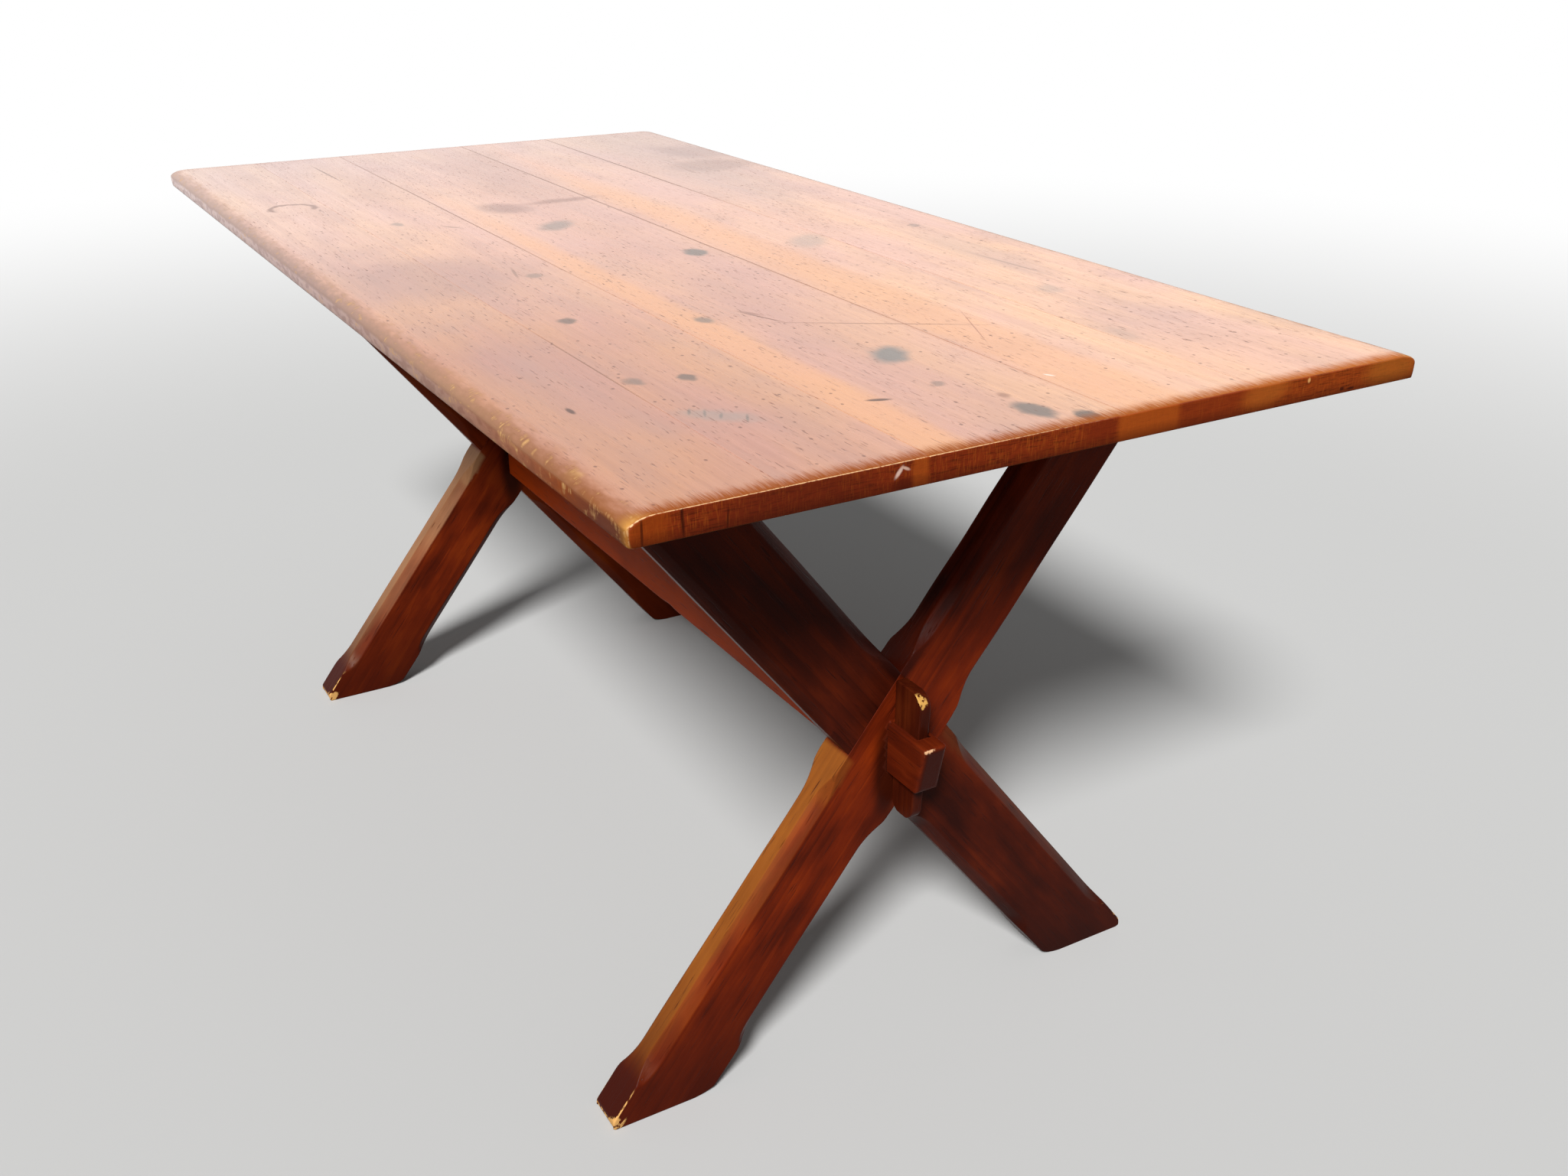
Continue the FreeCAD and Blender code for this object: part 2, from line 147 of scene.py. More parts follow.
lamp_data = bpy.data.lights.new("broad_lamp", "SUN")
lamp_data.angle = LAMP_SPREAD
lamp_data.energy = LAMP_STRENGTH
lamp = bpy.data.objects.new("broad_lamp", lamp_data)
lamp.rotation_euler = mathutils.Vector(LAMP_TOWARDS).to_track_quat("Z", "Y").to_euler()
bpy.context.scene.collection.objects.link(lamp)
print("lamp", LAMP_STRENGTH, "fill", FILL)

# %% [markdown]
# ## Floor
# The floor is one plain sheet. Near the table it takes the shadow, and further off it fades to white, so that no
# horizon shows. It is paler to the eye than to the light that bounces off it, which keeps the legs from glowing.

# %% Floor
FLOOR_SIZE = 60.0
FADE_START, FADE_END = 1.5, 5.0

half = FLOOR_SIZE / 2
corners = [(-half, -half, 0), (half, -half, 0), (half, half, 0), (-half, half, 0)]
floor_mesh = bpy.data.meshes.new("floor")
floor_mesh.from_pydata(corners, [], [(0, 1, 2, 3)])
floor = bpy.data.objects.new("floor", floor_mesh)
bpy.context.scene.collection.objects.link(floor)
floor_material, tree = new_material("matte_grey_floor")
seen = looked_at(tree)
colour = add(tree, "Mix", {"data_type": "RGBA"}, {"Factor": seen, "A": "#5A5A5A", "B": "#BCBCBB"})
near = add(tree, "BsdfPrincipled", None, {"Base Color": colour, "Roughness": 0.9})
distance = add(tree, "VectorMath", {"operation": "LENGTH"}, {0: add(tree, "TexCoord", out="Object")}, "Value")
paler_far_off = add(tree, "MapRange", {"interpolation_type": "SMOOTHSTEP"},
            {"Value": distance, "From Min": FADE_START, "From Max": FADE_END, "To Max": seen})
white = add(tree, "Emission", None, {"Color": "#FFFFFF", "Strength": 1.0})
surface = add(tree, "MixShader", None, {0: paler_far_off, 1: near, 2: white})
add(tree, "OutputMaterial", None, {"Surface": surface})
floor_mesh.materials.append(floor_material)
print("floor", FLOOR_SIZE, "m, white from", FADE_END, "m out")

# %% [markdown]
# ## Lofting
# Sawn and planed timber is a section carried along a length, so every wood piece here is a stack of rings. One
# function skins the stack and closes its ends, and a second sets the finished skin in the place of its CAD solid.

# %% Lofting
MM = 0.001
SHARP = math.radians(40)
CAP_INSET = 0.02


def measured_volume(points, quads):
    """Signed volume: the tetrahedra that each quad's two triangles make with the origin, added up."""
    a, b, c, d = (points[quads[:, i]] for i in range(4))
    return (np.einsum("ij,ij->i", a, np.cross(b, c)) + np.einsum("ij,ij->i", a, np.cross(c, d))).sum() / 6.0


def loft(name, rings, marks):
    """A closed skin through rings of the same even count of points, in mm.

    Quads join each ring to the next. Each end gets one more ring, a copy drawn slightly towards its middle, which
    keeps the end flat in the light. That ring is folded shut: its point k is joined to its last but k.
    marks are values from 0 to 1 per point, such as wear, each kept as an attribute that the finish reads.
    """
    ends = rings[[0, -1]]
    drawn_in = ends + CAP_INSET * (ends.mean(1, keepdims=True) - ends)
    marks = {mark: np.broadcast_to(values, rings.shape[:2]) for mark, values in marks.items()}
    marks = {mark: np.concatenate([values[:1], values, values[-1:]]) for mark, values in marks.items()}
    rings = np.concatenate([drawn_in[:1], rings, drawn_in[1:]])
    count, around = rings.shape[:2]
    here = np.arange(count * around).reshape(count, around)
    beside = np.roll(here, -1, axis=1)
    sides = np.stack([here[:-1], beside[:-1], beside[1:], here[1:]], -1).reshape(-1, 4)
    k = np.arange(around // 2 - 1)
    cap = np.stack([k, k + 1, around - 2 - k, around - 1 - k], -1)
    quads = np.concatenate([sides, cap[:, ::-1], cap + (count - 1) * around])
    points = rings.reshape(-1, 3) * MM
    if measured_volume(points, quads) < 0:
        quads = quads[:, ::-1]
    mesh = bpy.data.meshes.new(name)
    mesh.from_pydata(points.tolist(), [], quads.tolist())
    for mark, values in marks.items():
        share = np.clip(values, 0, 1).astype(np.float32)
        mesh.attributes.new(mark, "FLOAT", "POINT").data.foreach_set("value", share.ravel())
    piece = bpy.data.objects.new(name, mesh)
    bpy.context.scene.collection.objects.link(piece)
    return piece


def finish_shape(piece, node, body):
    """Smooths the skin except at edges sharper than SHARP, and lets the piece stand for its CAD node."""
    piece.data.polygons.foreach_set("use_smooth", np.ones(len(piece.data.polygons), bool))
    piece.data.set_sharp_from_angle(angle=SHARP)
    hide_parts(node)
    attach(piece, body)
    print(piece.name, "faces", len(piece.data.polygons))


print("edges sharper than", round(math.degrees(SHARP)), "degrees stay crisp")

# %% [markdown]
# ## Planed faces and worn edges
# A hand plane leaves a face slightly uneven, and years of hands round every edge off. Two small formulas give
# both: a few crossed sine waves for the face, and the drop of a quarter circle for the edge.

# %% Planed faces and worn edges
def waves(u, v, seed, length):
    """Hand-planed unevenness from about -1 to 1: six crossed sine waves, each near the given length in mm."""
    dice = np.random.default_rng(seed)
    total = 0.0
    for turn, phase, stretch in dice.uniform([0, 0, 0.6], [2 * math.pi, 2 * math.pi, 1.6], (6, 3)):
        along = u * math.cos(turn) + v * math.sin(turn)
        total = total + np.sin(along * 2 * math.pi * stretch / length + phase)
    return total / 3.0


def arris(distance, radius):
    """How far a surface has dropped at a distance from an edge worn to a quarter round."""
    inside = np.clip(radius - distance, 0.0, radius)
    return radius - np.sqrt(radius ** 2 - inside ** 2)


print("a planed face every 100 mm", np.round(waves(np.arange(0, 400, 100), 0, 1, 200), 2).tolist())

# %% [markdown]
# ## Top boards
# The top is five boards planed flush, with the two outer edges rolled over like a worn bullnose and the ends
# softened by years of wiping. Each board is a section across the grain carried along its length. The section's
# upper and lower halves have the same count of points, so the ends can be folded shut.

# %% Top boards
TOP_Z, UNDER_Z, WIDEST_Z = 737.0, 715.0, 728.0
HALF_LENGTH = 762.0
SEAMS = np.array([-381.0, -261.0, -140.0, 48.0, 188.0, 381.0])
ROLL_WIDTH, UNDERCUT = 21.0, 2.0
END_ROLL, END_DROP = 16.0, 0.8
END_ARRIS, LOWER_ARRIS, GLUE_ARRIS = 0.7, 0.5, 0.45
PLAN_CORNER, WORN_CORNER, CORNER_FADE = 5.0, 4.0, 70
HOLLOW, MOST_HOLLOW = 0.22, 0.6
SWELL, SWELL_LENGTH, SWELL_SEED = 0.12, 420, 11
RIPPLE, RIPPLE_LENGTH = 0.05, 140
EDGE_STEPS, RING_COUNT, FLAT_STEP, FLAT_MARGIN, MIDDLE_MARGIN = 10, 250, 4.5, 0.6, 22
END_STATIONS = np.array([0, 0.15, 0.4, 0.8, 1.3, 2.2, 3.5, 5, 7, 9.5, 12.5, 16])


def edge_curve(rolled):
    """One side of a board from its widest point: how far in, up to the top face and down to the lower face.

    A rolled side follows a quarter ellipse above and a tighter one below. A glued side is upright and ends in
    a tiny quarter round, which leaves a fine V where two boards meet.
    """
    turn = (np.arange(EDGE_STEPS) + 0.5) / EDGE_STEPS * math.pi / 2
    rise, fall = TOP_Z - WIDEST_Z, WIDEST_Z - UNDER_Z
    if rolled:
        up = ROLL_WIDTH * (1 - np.cos(turn)), rise * np.sin(turn)
        down = UNDERCUT * (1 - np.cos(turn)), fall * np.sin(turn)
        return up, down
    height = np.linspace(0.05, 1, EDGE_STEPS) ** 0.5
    up = arris(rise * (1 - height), GLUE_ARRIS), rise * height
    down = arris(fall * (1 - height), GLUE_ARRIS), fall * height
    return up, down


def board_rings(low, high, rolled_low, rolled_high, seed):
    """A board's rings: its section, sunk a little by wear, rolled down at the ends and rounded at corners.

    Rings stand about 6 mm apart, and closer where the ends turn down. The pale mark is a thin line on the upper
    arris of the ends, stronger towards -y, which is partly worn wood and partly a painted highlight, and a rubbed
    patch on the outer corners.
    """
    (up_l, rise_l), (down_l, fall_l) = edge_curve(rolled_low)
    (up_h, rise_h), (down_h, fall_h) = edge_curve(rolled_high)
    count = int((high - low) / FLAT_STEP)
    flat_y = np.linspace(low + max(up_l[-1], down_l[-1]) + FLAT_MARGIN,
                         high - max(up_h[-1], down_h[-1]) - FLAT_MARGIN, count)
    y = np.concatenate([low + up_l, flat_y, high - up_h[::-1],
                        high - down_h, flat_y[::-1], low + down_l[::-1]])
    z = np.concatenate([WIDEST_Z + rise_l, np.full(count, TOP_Z), WIDEST_Z + rise_h[::-1],
                        WIDEST_Z - fall_h, np.full(count, UNDER_Z), WIDEST_Z - fall_l[::-1]])
    middle = np.linspace(-HALF_LENGTH + MIDDLE_MARGIN, HALF_LENGTH - MIDDLE_MARGIN, RING_COUNT)
    x = np.concatenate([-HALF_LENGTH + END_STATIONS, middle, (HALF_LENGTH - END_STATIONS)[::-1]])[:, None]
    end = HALF_LENGTH - np.abs(x)
    roll = END_DROP * np.clip(1 - end / END_ROLL, 0, 1) ** 2 + arris(end, END_ARRIS)
    hollow = HOLLOW + SWELL * waves(x, y[None], SWELL_SEED, SWELL_LENGTH)
    hollow = hollow + RIPPLE * waves(x, y[None] * 2.5, seed, RIPPLE_LENGTH)
    share = np.clip((z - WIDEST_Z) / (TOP_Z - WIDEST_Z), 0, 1)
    share_low = np.clip((WIDEST_Z - z) / (WIDEST_Z - UNDER_Z), 0, 1)
    z = z - share * (roll + np.clip(hollow, 0, MOST_HOLLOW)) + share_low * arris(end, LOWER_ARRIS)
    # A pale line on the ends' upper arris, partly wear and partly a painted highlight, and worn corners.
    wear_and_highlight = np.clip(1.3 - np.abs(end - 0.8) / 0.6, 0, 1) * (share > 0.3) * np.clip(0.5 - y / 300, 0.1, 0.9)
    rubbed = np.clip(1.2 - np.abs(end - 1.6) / 1.3, 0, 1) * (0.45 + 0.55 * share)
    tuck = arris(end, PLAN_CORNER)
    if rolled_low:
        wear_and_highlight = np.maximum(wear_and_highlight, rubbed * np.clip((low + WORN_CORNER - y) / WORN_CORNER, 0, 1))
        y = y + tuck * np.clip(1 - (y - low - ROLL_WIDTH) / CORNER_FADE, 0, 1)
    if rolled_high:
        wear_and_highlight = np.maximum(wear_and_highlight, rubbed * np.clip((y - high + WORN_CORNER) / WORN_CORNER, 0, 1))
        y = y - tuck * np.clip(1 - (high - ROLL_WIDTH - y) / CORNER_FADE, 0, 1)
    shape = np.broadcast_shapes(x.shape, y.shape, z.shape)
    return np.stack([np.broadcast_to(a, shape) for a in (x, y, z)], -1), {"wear_and_highlight": wear_and_highlight}


print("board widths", np.diff(SEAMS).tolist(), "mm")

# %% [markdown]
# ## Setting the boards
# Boards in one top come from different trees, so their grain must not run on from one to the next. Each board
# therefore carries its own place as an attribute: measured from its own middle, and far from its neighbours'.

# %% Setting the boards
BOARD_APART = 1900.0

top_boards = []
for number, (low, high) in enumerate(zip(SEAMS[:-1], SEAMS[1:]), start=1):
    rings, marks = board_rings(low, high, number == 1, number == 5, number)
    board = loft("board_%d" % number, rings, marks)
    own = np.empty(len(board.data.vertices) * 3, np.float32)
    board.data.vertices.foreach_get("co", own)
    own = own.reshape(-1, 3) - np.array([BOARD_APART * number, (low + high) / 2, TOP_Z]) * MM
    board.data.attributes.new("own_place", "FLOAT_VECTOR", "POINT").data.foreach_set("vector", own.ravel())
    finish_shape(board, "top_board_%d" % number, "table")
    top_boards.append(board)

# %% [markdown]
# ## Timber section
# Every leg, rail and wedge is a squared timber whose four corners are either chamfered or just worn round. One
# corner is drawn as a curve that goes from the first kind to the second, so a chamfer can run out along the piece.
# The section is four such corners with straight flats between them, and it says how exposed each point is.

# %% Timber section
CORNER_STEPS = 9
FULL_CHAMFER = 4.0
ROUND_MARKS = np.array([0, 1, 1, 0.35, 0, 0.35, 1, 1, 0])
SQUARE_MARKS = np.array([0, 0.2, 0.6, 1, 1, 1, 0.6, 0.2, 0])
FLAT_MARKS = np.array([1, 1, 0])


def corner(chamfer, radius):
    """Distances in from a corner along its two faces, and how exposed each point is.

    With no chamfer the corner is a quarter circle. With one it is a flat whose two edges are each softened by
    a quadratic curve. The shape goes from the first to the second over the first FULL_CHAMFER of chamfer.
    """
    turn = np.linspace(0, math.pi / 2, CORNER_STEPS)
    square = np.stack([1 - np.sin(turn), 1 - np.cos(turn)], -1) * radius[:, None, None]
    t = np.linspace(0, 1, 4)[:, None]
    c, r = chamfer[:, None, None], radius[:, None, None]
    start = np.concatenate([c + r, c * 0], -1)
    knee = np.concatenate([c, c * 0], -1)
    flat = np.concatenate([c - 0.7 * r, 0.7 * r], -1)
    soft = (1 - t) ** 2 * start + 2 * t * (1 - t) * knee + t ** 2 * flat
    cut = np.concatenate([soft, np.concatenate([c, c], -1) / 2, soft[:, ::-1, ::-1]], 1)
    share = np.clip(chamfer / FULL_CHAMFER, 0, 1)[:, None, None]
    marks = (1 - share[..., 0]) * SQUARE_MARKS + share[..., 0] * ROUND_MARKS
    return (1 - share) * square + share * cut, marks


def timber_section(width, thickness, chamfers, radius, across, through):
    """Rings of a squared timber's section: v across its width, d through its thickness, and exposure.

    width and thickness are low and high limits per ring. chamfers holds the four corners' sizes per ring, in
    the order high v and d, low v high d, low v low d, high v low d. across and through are the shares of the
    flats, -1 to 1, where points lie. The ring starts at the middle of the high v side.
    """
    signs = ((1, 1), (-1, 1), (-1, -1), (1, -1))
    v_mid, v_half = (width[1] + width[0]) / 2, (width[1] - width[0]) / 2
    d_mid, d_half = (thickness[1] + thickness[0]) / 2, (thickness[1] - thickness[0]) / 2
    bends = []
    for chamfer, (sv, sd) in zip(chamfers, signs):
        steps, marks = corner(chamfer, radius)
        order = slice(None) if sv * sd < 0 else slice(None, None, -1)
        v = (v_mid + sv * v_half)[:, None] - sv * steps[:, order, 0]
        d = (d_mid + sd * d_half)[:, None] - sd * steps[:, order, 1]
        bends.append(np.stack([v, d, marks[:, order]], -1))

    def between(a, b, shares):
        return (a[:, None] * (1 - shares[:, None]) + b[:, None] * shares[:, None]) * FLAT_MARKS

    shares_v = (1 - across[::-1]) / 2
    shares_d = (1 - through[::-1]) / 2
    half = len(shares_d) // 2
    high_side = between(bends[3][:, -1], bends[0][:, 0], shares_d)
    front = between(bends[0][:, -1], bends[1][:, 0], shares_v)
    low_side = between(bends[1][:, -1], bends[2][:, 0], shares_d)
    back = between(bends[2][:, -1], bends[3][:, 0], shares_v)
    ring = np.concatenate([high_side[:, half:], bends[0], front, bends[1], low_side, bends[2], back, bends[3],
                           high_side[:, :half]], 1)
    return ring[..., 0], ring[..., 1], ring[..., 2]


print("points round one corner", CORNER_STEPS)

# %% [markdown]
# ## Crossed legs
# Each leg is a two-by-four set at a slope, halved where it crosses its partner. Its corners are chamfered, and
# every chamfer stops short of the crossing and of the foot in a little carved tongue. All four legs are one
# shape: rings run from the foot to the crossing and on to the head, skewed to match the cut at each place.

# %% Crossed legs
FOOT_SPREAD, HEAD_SPREAD = 546.0, 581.0
LEG_WIDTH, LEG_THICKNESS = 91.0, 41.0
CHAMFER, TONGUE = 11.0, 56.0
STOP_FROM_LAP, STOP_ABOVE_FLOOR, STOP_RISE = 5.0, 30.0, 44.0
TOE_BLUNT, FOOT_ARRIS, LAP_ARRIS = 8.0, 1.4, 0.6
HEEL_WIDTH, HEEL_LIFT = 17.0, 6.0

SLOPE = math.atan2(UNDER_Z, (FOOT_SPREAD + HEAD_SPREAD) / 2)
SIN, COS = math.sin(SLOPE), math.cos(SLOPE)
CROSSING_Z = FOOT_SPREAD / 2 * math.tan(SLOPE)
TOE_Y = FOOT_SPREAD / 2 + LEG_WIDTH / 2 / SIN - TOE_BLUNT
LAP_SKEW = -math.cos(2 * SLOPE) / math.sin(2 * SLOPE)
LAP_HALF = LEG_WIDTH / 2 / math.sin(2 * SLOPE)
print("legs slope", round(math.degrees(SLOPE), 2), "degrees and cross at", round(CROSSING_Z, 1), "mm")


def tongue(t):
    """The carved S between square edge and full chamfer: two parabolas that meet halfway."""
    t = np.clip(t, 0, 1)
    return np.where(t < 0.5, 2 * t ** 2, 1 - 2 * (1 - t) ** 2)


def foot_line(v):
    """Where the floor, the blunted toe or the worn heel, whichever comes first, cuts a line along the leg at v.

    The heel lifts off the floor by a parabola over its last few millimetres.
    """
    heel = HEEL_LIFT * np.clip(1 - (v + LEG_WIDTH / 2) / HEEL_WIDTH, 0, 1) ** 2
    return np.maximum((heel - CROSSING_Z - v * COS) / SIN, (-TOE_Y + v * SIN) / COS)


def low_lap(v):
    """Where the lap's lower wall cuts a line along the leg at v."""
    return LAP_SKEW * v - LAP_HALF


def high_lap(v):
    """Where the lap's upper wall cuts a line along the leg at v."""
    return LAP_SKEW * v + LAP_HALF


def head_line(v):
    """Where the underside of the top cuts a line along the leg at v."""
    return (UNDER_Z - CROSSING_Z - v * COS) / SIN


def ring_weights():
    """How much of each cut (foot, lower lap wall, upper lap wall, head) a ring follows, and if it is in the lap.

    Rings go from one cut to the next in even steps, with finer ones beside the foot and the lap walls.
    """
    fine = np.array([0, 0.25, 0.6, 1.2, 2.4])
    arm = np.concatenate([fine, np.linspace(5, 389, 112), 394 - fine[::-1]]) / 394
    upper = np.concatenate([fine, np.linspace(5, 422, 110)]) / 422
    middle = np.linspace(0, 1, 20)
    stretches = (1 - arm[::-1], middle, upper)
    lengths = [len(t) for t in stretches]
    first = np.repeat([0, 1, 2], lengths)
    t = np.concatenate(stretches)[:, None]
    unit = np.eye(4)
    return unit[first] * (1 - t) + unit[first + 1] * t, np.repeat([0, 1, 0], lengths)


# %% [markdown]
# ## Leg rings and wear
# A leg's rings are timber sections whose chamfers swell and run out, cut back to half thickness in the lap. The
# wear is worked out with the shape, because it follows it: toes are chipped and the feet are soaked dark. Edges on
# the open side are paler, partly rubbed thin and partly painted light where the light falls on them. The fork over
# the crossing and the lower edge of the lower arms are darkened as painted shade.

# %% Leg rings and wear
LEG_ACROSS = np.sort(np.append(np.linspace(-1, 1, 15), [-0.96, 0.884, 0.96]))
LEG_THROUGH = np.array([-1, -0.85, -0.5, -0.15, 0.15, 0.5, 0.85, 1])
PLANED = 0.15
LEG_ARRIS, LEAST_ARRIS, MOST_ARRIS = 1.2, 0.7, 3.0
CRISP_BESIDE_LAP, ROUND_ABOVE_FOOT = 12, 60


def leg_rings(seed, bevel_paleness):
    """A leg in its own axes: s along it from the crossing, v across it, d through it, and its marks.

    Each ring's s is a weighted mean of four cuts: foot, lower lap wall, upper lap wall and head. bevel_paleness is
    how pale the lower arm's chamfers are made: thin stain, and painted light where the light falls on them. The
    toe's outer corner is chipped to bare wood.
    """
    weights, in_lap = ring_weights()

    def along(v):
        cuts = (foot_line, low_lap, high_lap, head_line)
        return sum(weights[:, i, None] * cut(v) for i, cut in enumerate(cuts))

    half, deep = LEG_WIDTH / 2, LEG_THICKNESS / 2
    chamfers = []
    for number, side in enumerate((1, -1, -1, 1)):
        s = along(np.array([[side * half]]))[:, 0]
        height = CROSSING_Z + s * SIN + side * half * COS
        size = CHAMFER * (1 + 0.05 * waves(s, 0, seed + number, 160))
        from_lap = np.abs(s) - LAP_HALF - LAP_SKEW * side * half * np.sign(s)
        chamfers.append(size * tongue((from_lap - STOP_FROM_LAP) / TONGUE)
                        * tongue((height - STOP_ABOVE_FLOOR) / STOP_RISE))
    s_mid = along(np.zeros((1, 1)))[:, 0]
    foot_gap = s_mid - foot_line(np.zeros(1))
    lap_gap = np.abs(np.abs(s_mid) - LAP_HALF)
    tuck = arris(foot_gap, FOOT_ARRIS)
    lap_tuck = np.where(in_lap == 1, deep, arris(lap_gap, LAP_ARRIS))
    radius = LEG_ARRIS + 0.35 * waves(s_mid, 0, seed + 9, 90) + np.clip(1 - foot_gap / ROUND_ABOVE_FOOT, 0, 1)
    radius = np.where(np.abs(s_mid) < LAP_HALF + CRISP_BESIDE_LAP, LEAST_ARRIS,
                      np.clip(radius, LEAST_ARRIS, MOST_ARRIS))
    v, d, exposed = timber_section((tuck - half, half - tuck), (lap_tuck - deep, deep - tuck),
                                   chamfers, radius, LEG_ACROSS, LEG_THROUGH)
    d = d - np.sign(d) * PLANED * (1 + waves(s_mid[:, None], v * 2, seed + 20, 170)) * (in_lap[:, None] == 0)
    s = along(v)
    return s, v, d, leg_marks(s, v, d, exposed, bevel_paleness)


def leg_marks(s, v, d, exposed, bevel_paleness):
    """Where a leg is bare, paler and darker, with painted light and shade among them: ramps of the height and of
    the distance from its edges, in mm.
    """
    half, deep = LEG_WIDTH / 2, LEG_THICKNESS / 2
    height = CROSSING_Z + s * SIN + v * COS
    # Which part of the leg a point is on.
    toe = np.clip((v - half + 12) / 8, 0, 1)
    narrow = np.clip((v - half + 1.5) / 1.5, 0, 1)
    bevel = np.clip((v + np.abs(d) - half - deep + CHAMFER + 1) / 2, 0, 1)
    open_arm = np.clip((low_lap(v) - s) / 4, 0, 1) * np.clip((height - 42) / 30, 0, 1)
    lower_arm = np.clip((-s - LAP_HALF) / 20, 0, 1)
    # What has happened to it there.
    chip = 2 * np.exp(-((height - 5) / 7) ** 2 - ((deep - d) / 9) ** 2)
    sole = 0.6 * np.clip((9 - height) / 6, 0, 1)
    scraped = np.clip(1 - height / 62, 0, 1) * (exposed > 0.5)
    # Painted shade: the fork over the crossing is darkened.
    above_lap = s - high_lap(v)
    fork_shade = np.clip(1 - above_lap / 80, 0, 1) * (above_lap > -0.5) * np.maximum(narrow, bevel)
    # Paler is partly painted light on the open arm's upper edges. Darker is stain soaked into the feet, and painted
    # shade in the fork and on the lower arms' lower edges.
    return {"wear_and_highlight": toe * (chip + sole + scraped),
            "thinned_and_lit": open_arm * np.maximum(narrow, bevel_paleness * bevel),
            "soaked_and_shaded": 0.75 * np.clip(1 - height / 170, 0, 1) + 0.4 * narrow * np.clip((66 - height) / 22, 0, 1)
            + 0.25 * lower_arm * np.clip(-v / half, 0, 1) + 1.2 * fork_shade}


print("rings in a leg", len(ring_weights()[0]))

# %% [markdown]
# ## Cutting a slot
# A hole is easier to cut afterwards than to loft round, so the mortises in the legs and the wedge slots in the
# stretcher are taken out with a Boolean. Its result is kept as the piece's mesh, and the cutter is thrown away.

# %% Cutting a slot
def cut_slot(piece, outline, half_width):
    """Cuts a hole of a given x, z outline and y half width through a piece, in mm."""
    outline = np.array(outline, float)
    n = len(outline)
    near = np.column_stack([outline[:, 0], np.full(n, -half_width), outline[:, 1]])
    points = np.concatenate([near, near + [0.0, 2.0 * half_width, 0.0]]) * MM
    walls = [(i, (i + 1) % n, (i + 1) % n + n, i + n) for i in range(n)]
    mesh = bpy.data.meshes.new("cutter")
    mesh.from_pydata(points.tolist(), [], walls + [tuple(range(n))[::-1], tuple(range(n, 2 * n))])
    cutter = bpy.data.objects.new("cutter", mesh)
    bpy.context.scene.collection.objects.link(cutter)
    modifier = piece.modifiers.new("slot", "BOOLEAN")
    modifier.operation = "DIFFERENCE"
    modifier.solver = "EXACT"
    modifier.object = cutter
    bpy.context.view_layer.update()
    cut = bpy.data.meshes.new_from_object(piece.evaluated_get(bpy.context.evaluated_depsgraph_get()))
    piece.modifiers.clear()
    piece.data = cut
    bpy.data.objects.remove(cutter)


# %% [markdown]
# ## Setting the legs
# A trestle's second leg is its first swung half round, so one shape makes all four, each with its own seed for the
# unevenness. The mortise for the stretcher is then cut through each.

# %% Setting the legs
FRONT_X, REAR_X = 516.5, -489.5
# Paleness of the lower arms' chamfers: thin stain, and painted light where the light falls on them.
FRONT_BEVEL_PALENESS, REAR_BEVEL_PALENESS = 0.42, 1.1
TENON_LOW, TENON_HIGH, TENON_HALF = 313.9, 367.9, 13.0
MORTISE_EASE = 0.1


def set_leg(centre_x, turned, seed):
    """A leg in the table's axes, in mm. A turned leg is swung half round about the upright line of its trestle."""
    s, v, d, marks = leg_rings(seed, FRONT_BEVEL_PALENESS if centre_x > 0 else REAR_BEVEL_PALENESS)
    sign = -1.0 if turned else 1.0
    y = sign * (s * COS - v * SIN)
    z = CROSSING_Z + s * SIN + v * COS
    return np.stack([centre_x + sign * d, y, np.clip(z, 0, None)], -1), marks


legs = {}
for name, centre_x, turned in (("front_outer_leg", FRONT_X, False), ("front_inner_leg", FRONT_X, True),
                               ("rear_outer_leg", REAR_X, True), ("rear_inner_leg", REAR_X, False)):
    leg = loft(name.replace("_leg", "_crossed_leg"), *set_leg(centre_x, turned, 40 + 10 * len(legs)))
    low_x, high_x = centre_x - LEG_THICKNESS, centre_x + LEG_THICKNESS
    cut_slot(leg, [(low_x, TENON_LOW), (high_x, TENON_LOW), (high_x, TENON_HIGH), (low_x, TENON_HIGH)],
             TENON_HALF + MORTISE_EASE)
    finish_shape(leg, name, "table")
    legs[name] = leg

# %% [markdown]
# ## Stretcher
# The stretcher is a board on edge. At each trestle it is shouldered down to a tenon that goes right through the
# crossing, and a tapered slot in the part that stands out takes the wedge. The rings jump in size at the
# shoulders, and the slots are cut afterwards so that they are really there when a wedge is lifted.

# %% Stretcher
RAIL_HALF, RAIL_LOW, RAIL_HIGH = 16.5, 301.9, 379.9
FRONT_FACE, REAR_FACE = 537.0, -510.0
TENON_REACH, TENON_CUT_BACK, TENON_ROUND = 63.0, 13.0, 5.0
RAIL_ARRIS, TENON_ARRIS, SHOULDER_ARRIS = 2.0, 1.2, 0.5
DENT_X, DENT_DEPTH, DENT_LENGTH = 62, 3.0, 14
WEDGE_WIDTH, WEDGE_HALF, WEDGE_TAPER = 40.5, 6.0, 1 / 14
SLOT_RELIEF, SLOT_OVERRUN, CLEARANCE = 6.0, 30, 0.3


def wedge_edge(z):
    """How far the wedge's sloping edge stands out from the trestle at a height."""
    return WEDGE_WIDTH + (z - TENON_HIGH) * WEDGE_TAPER


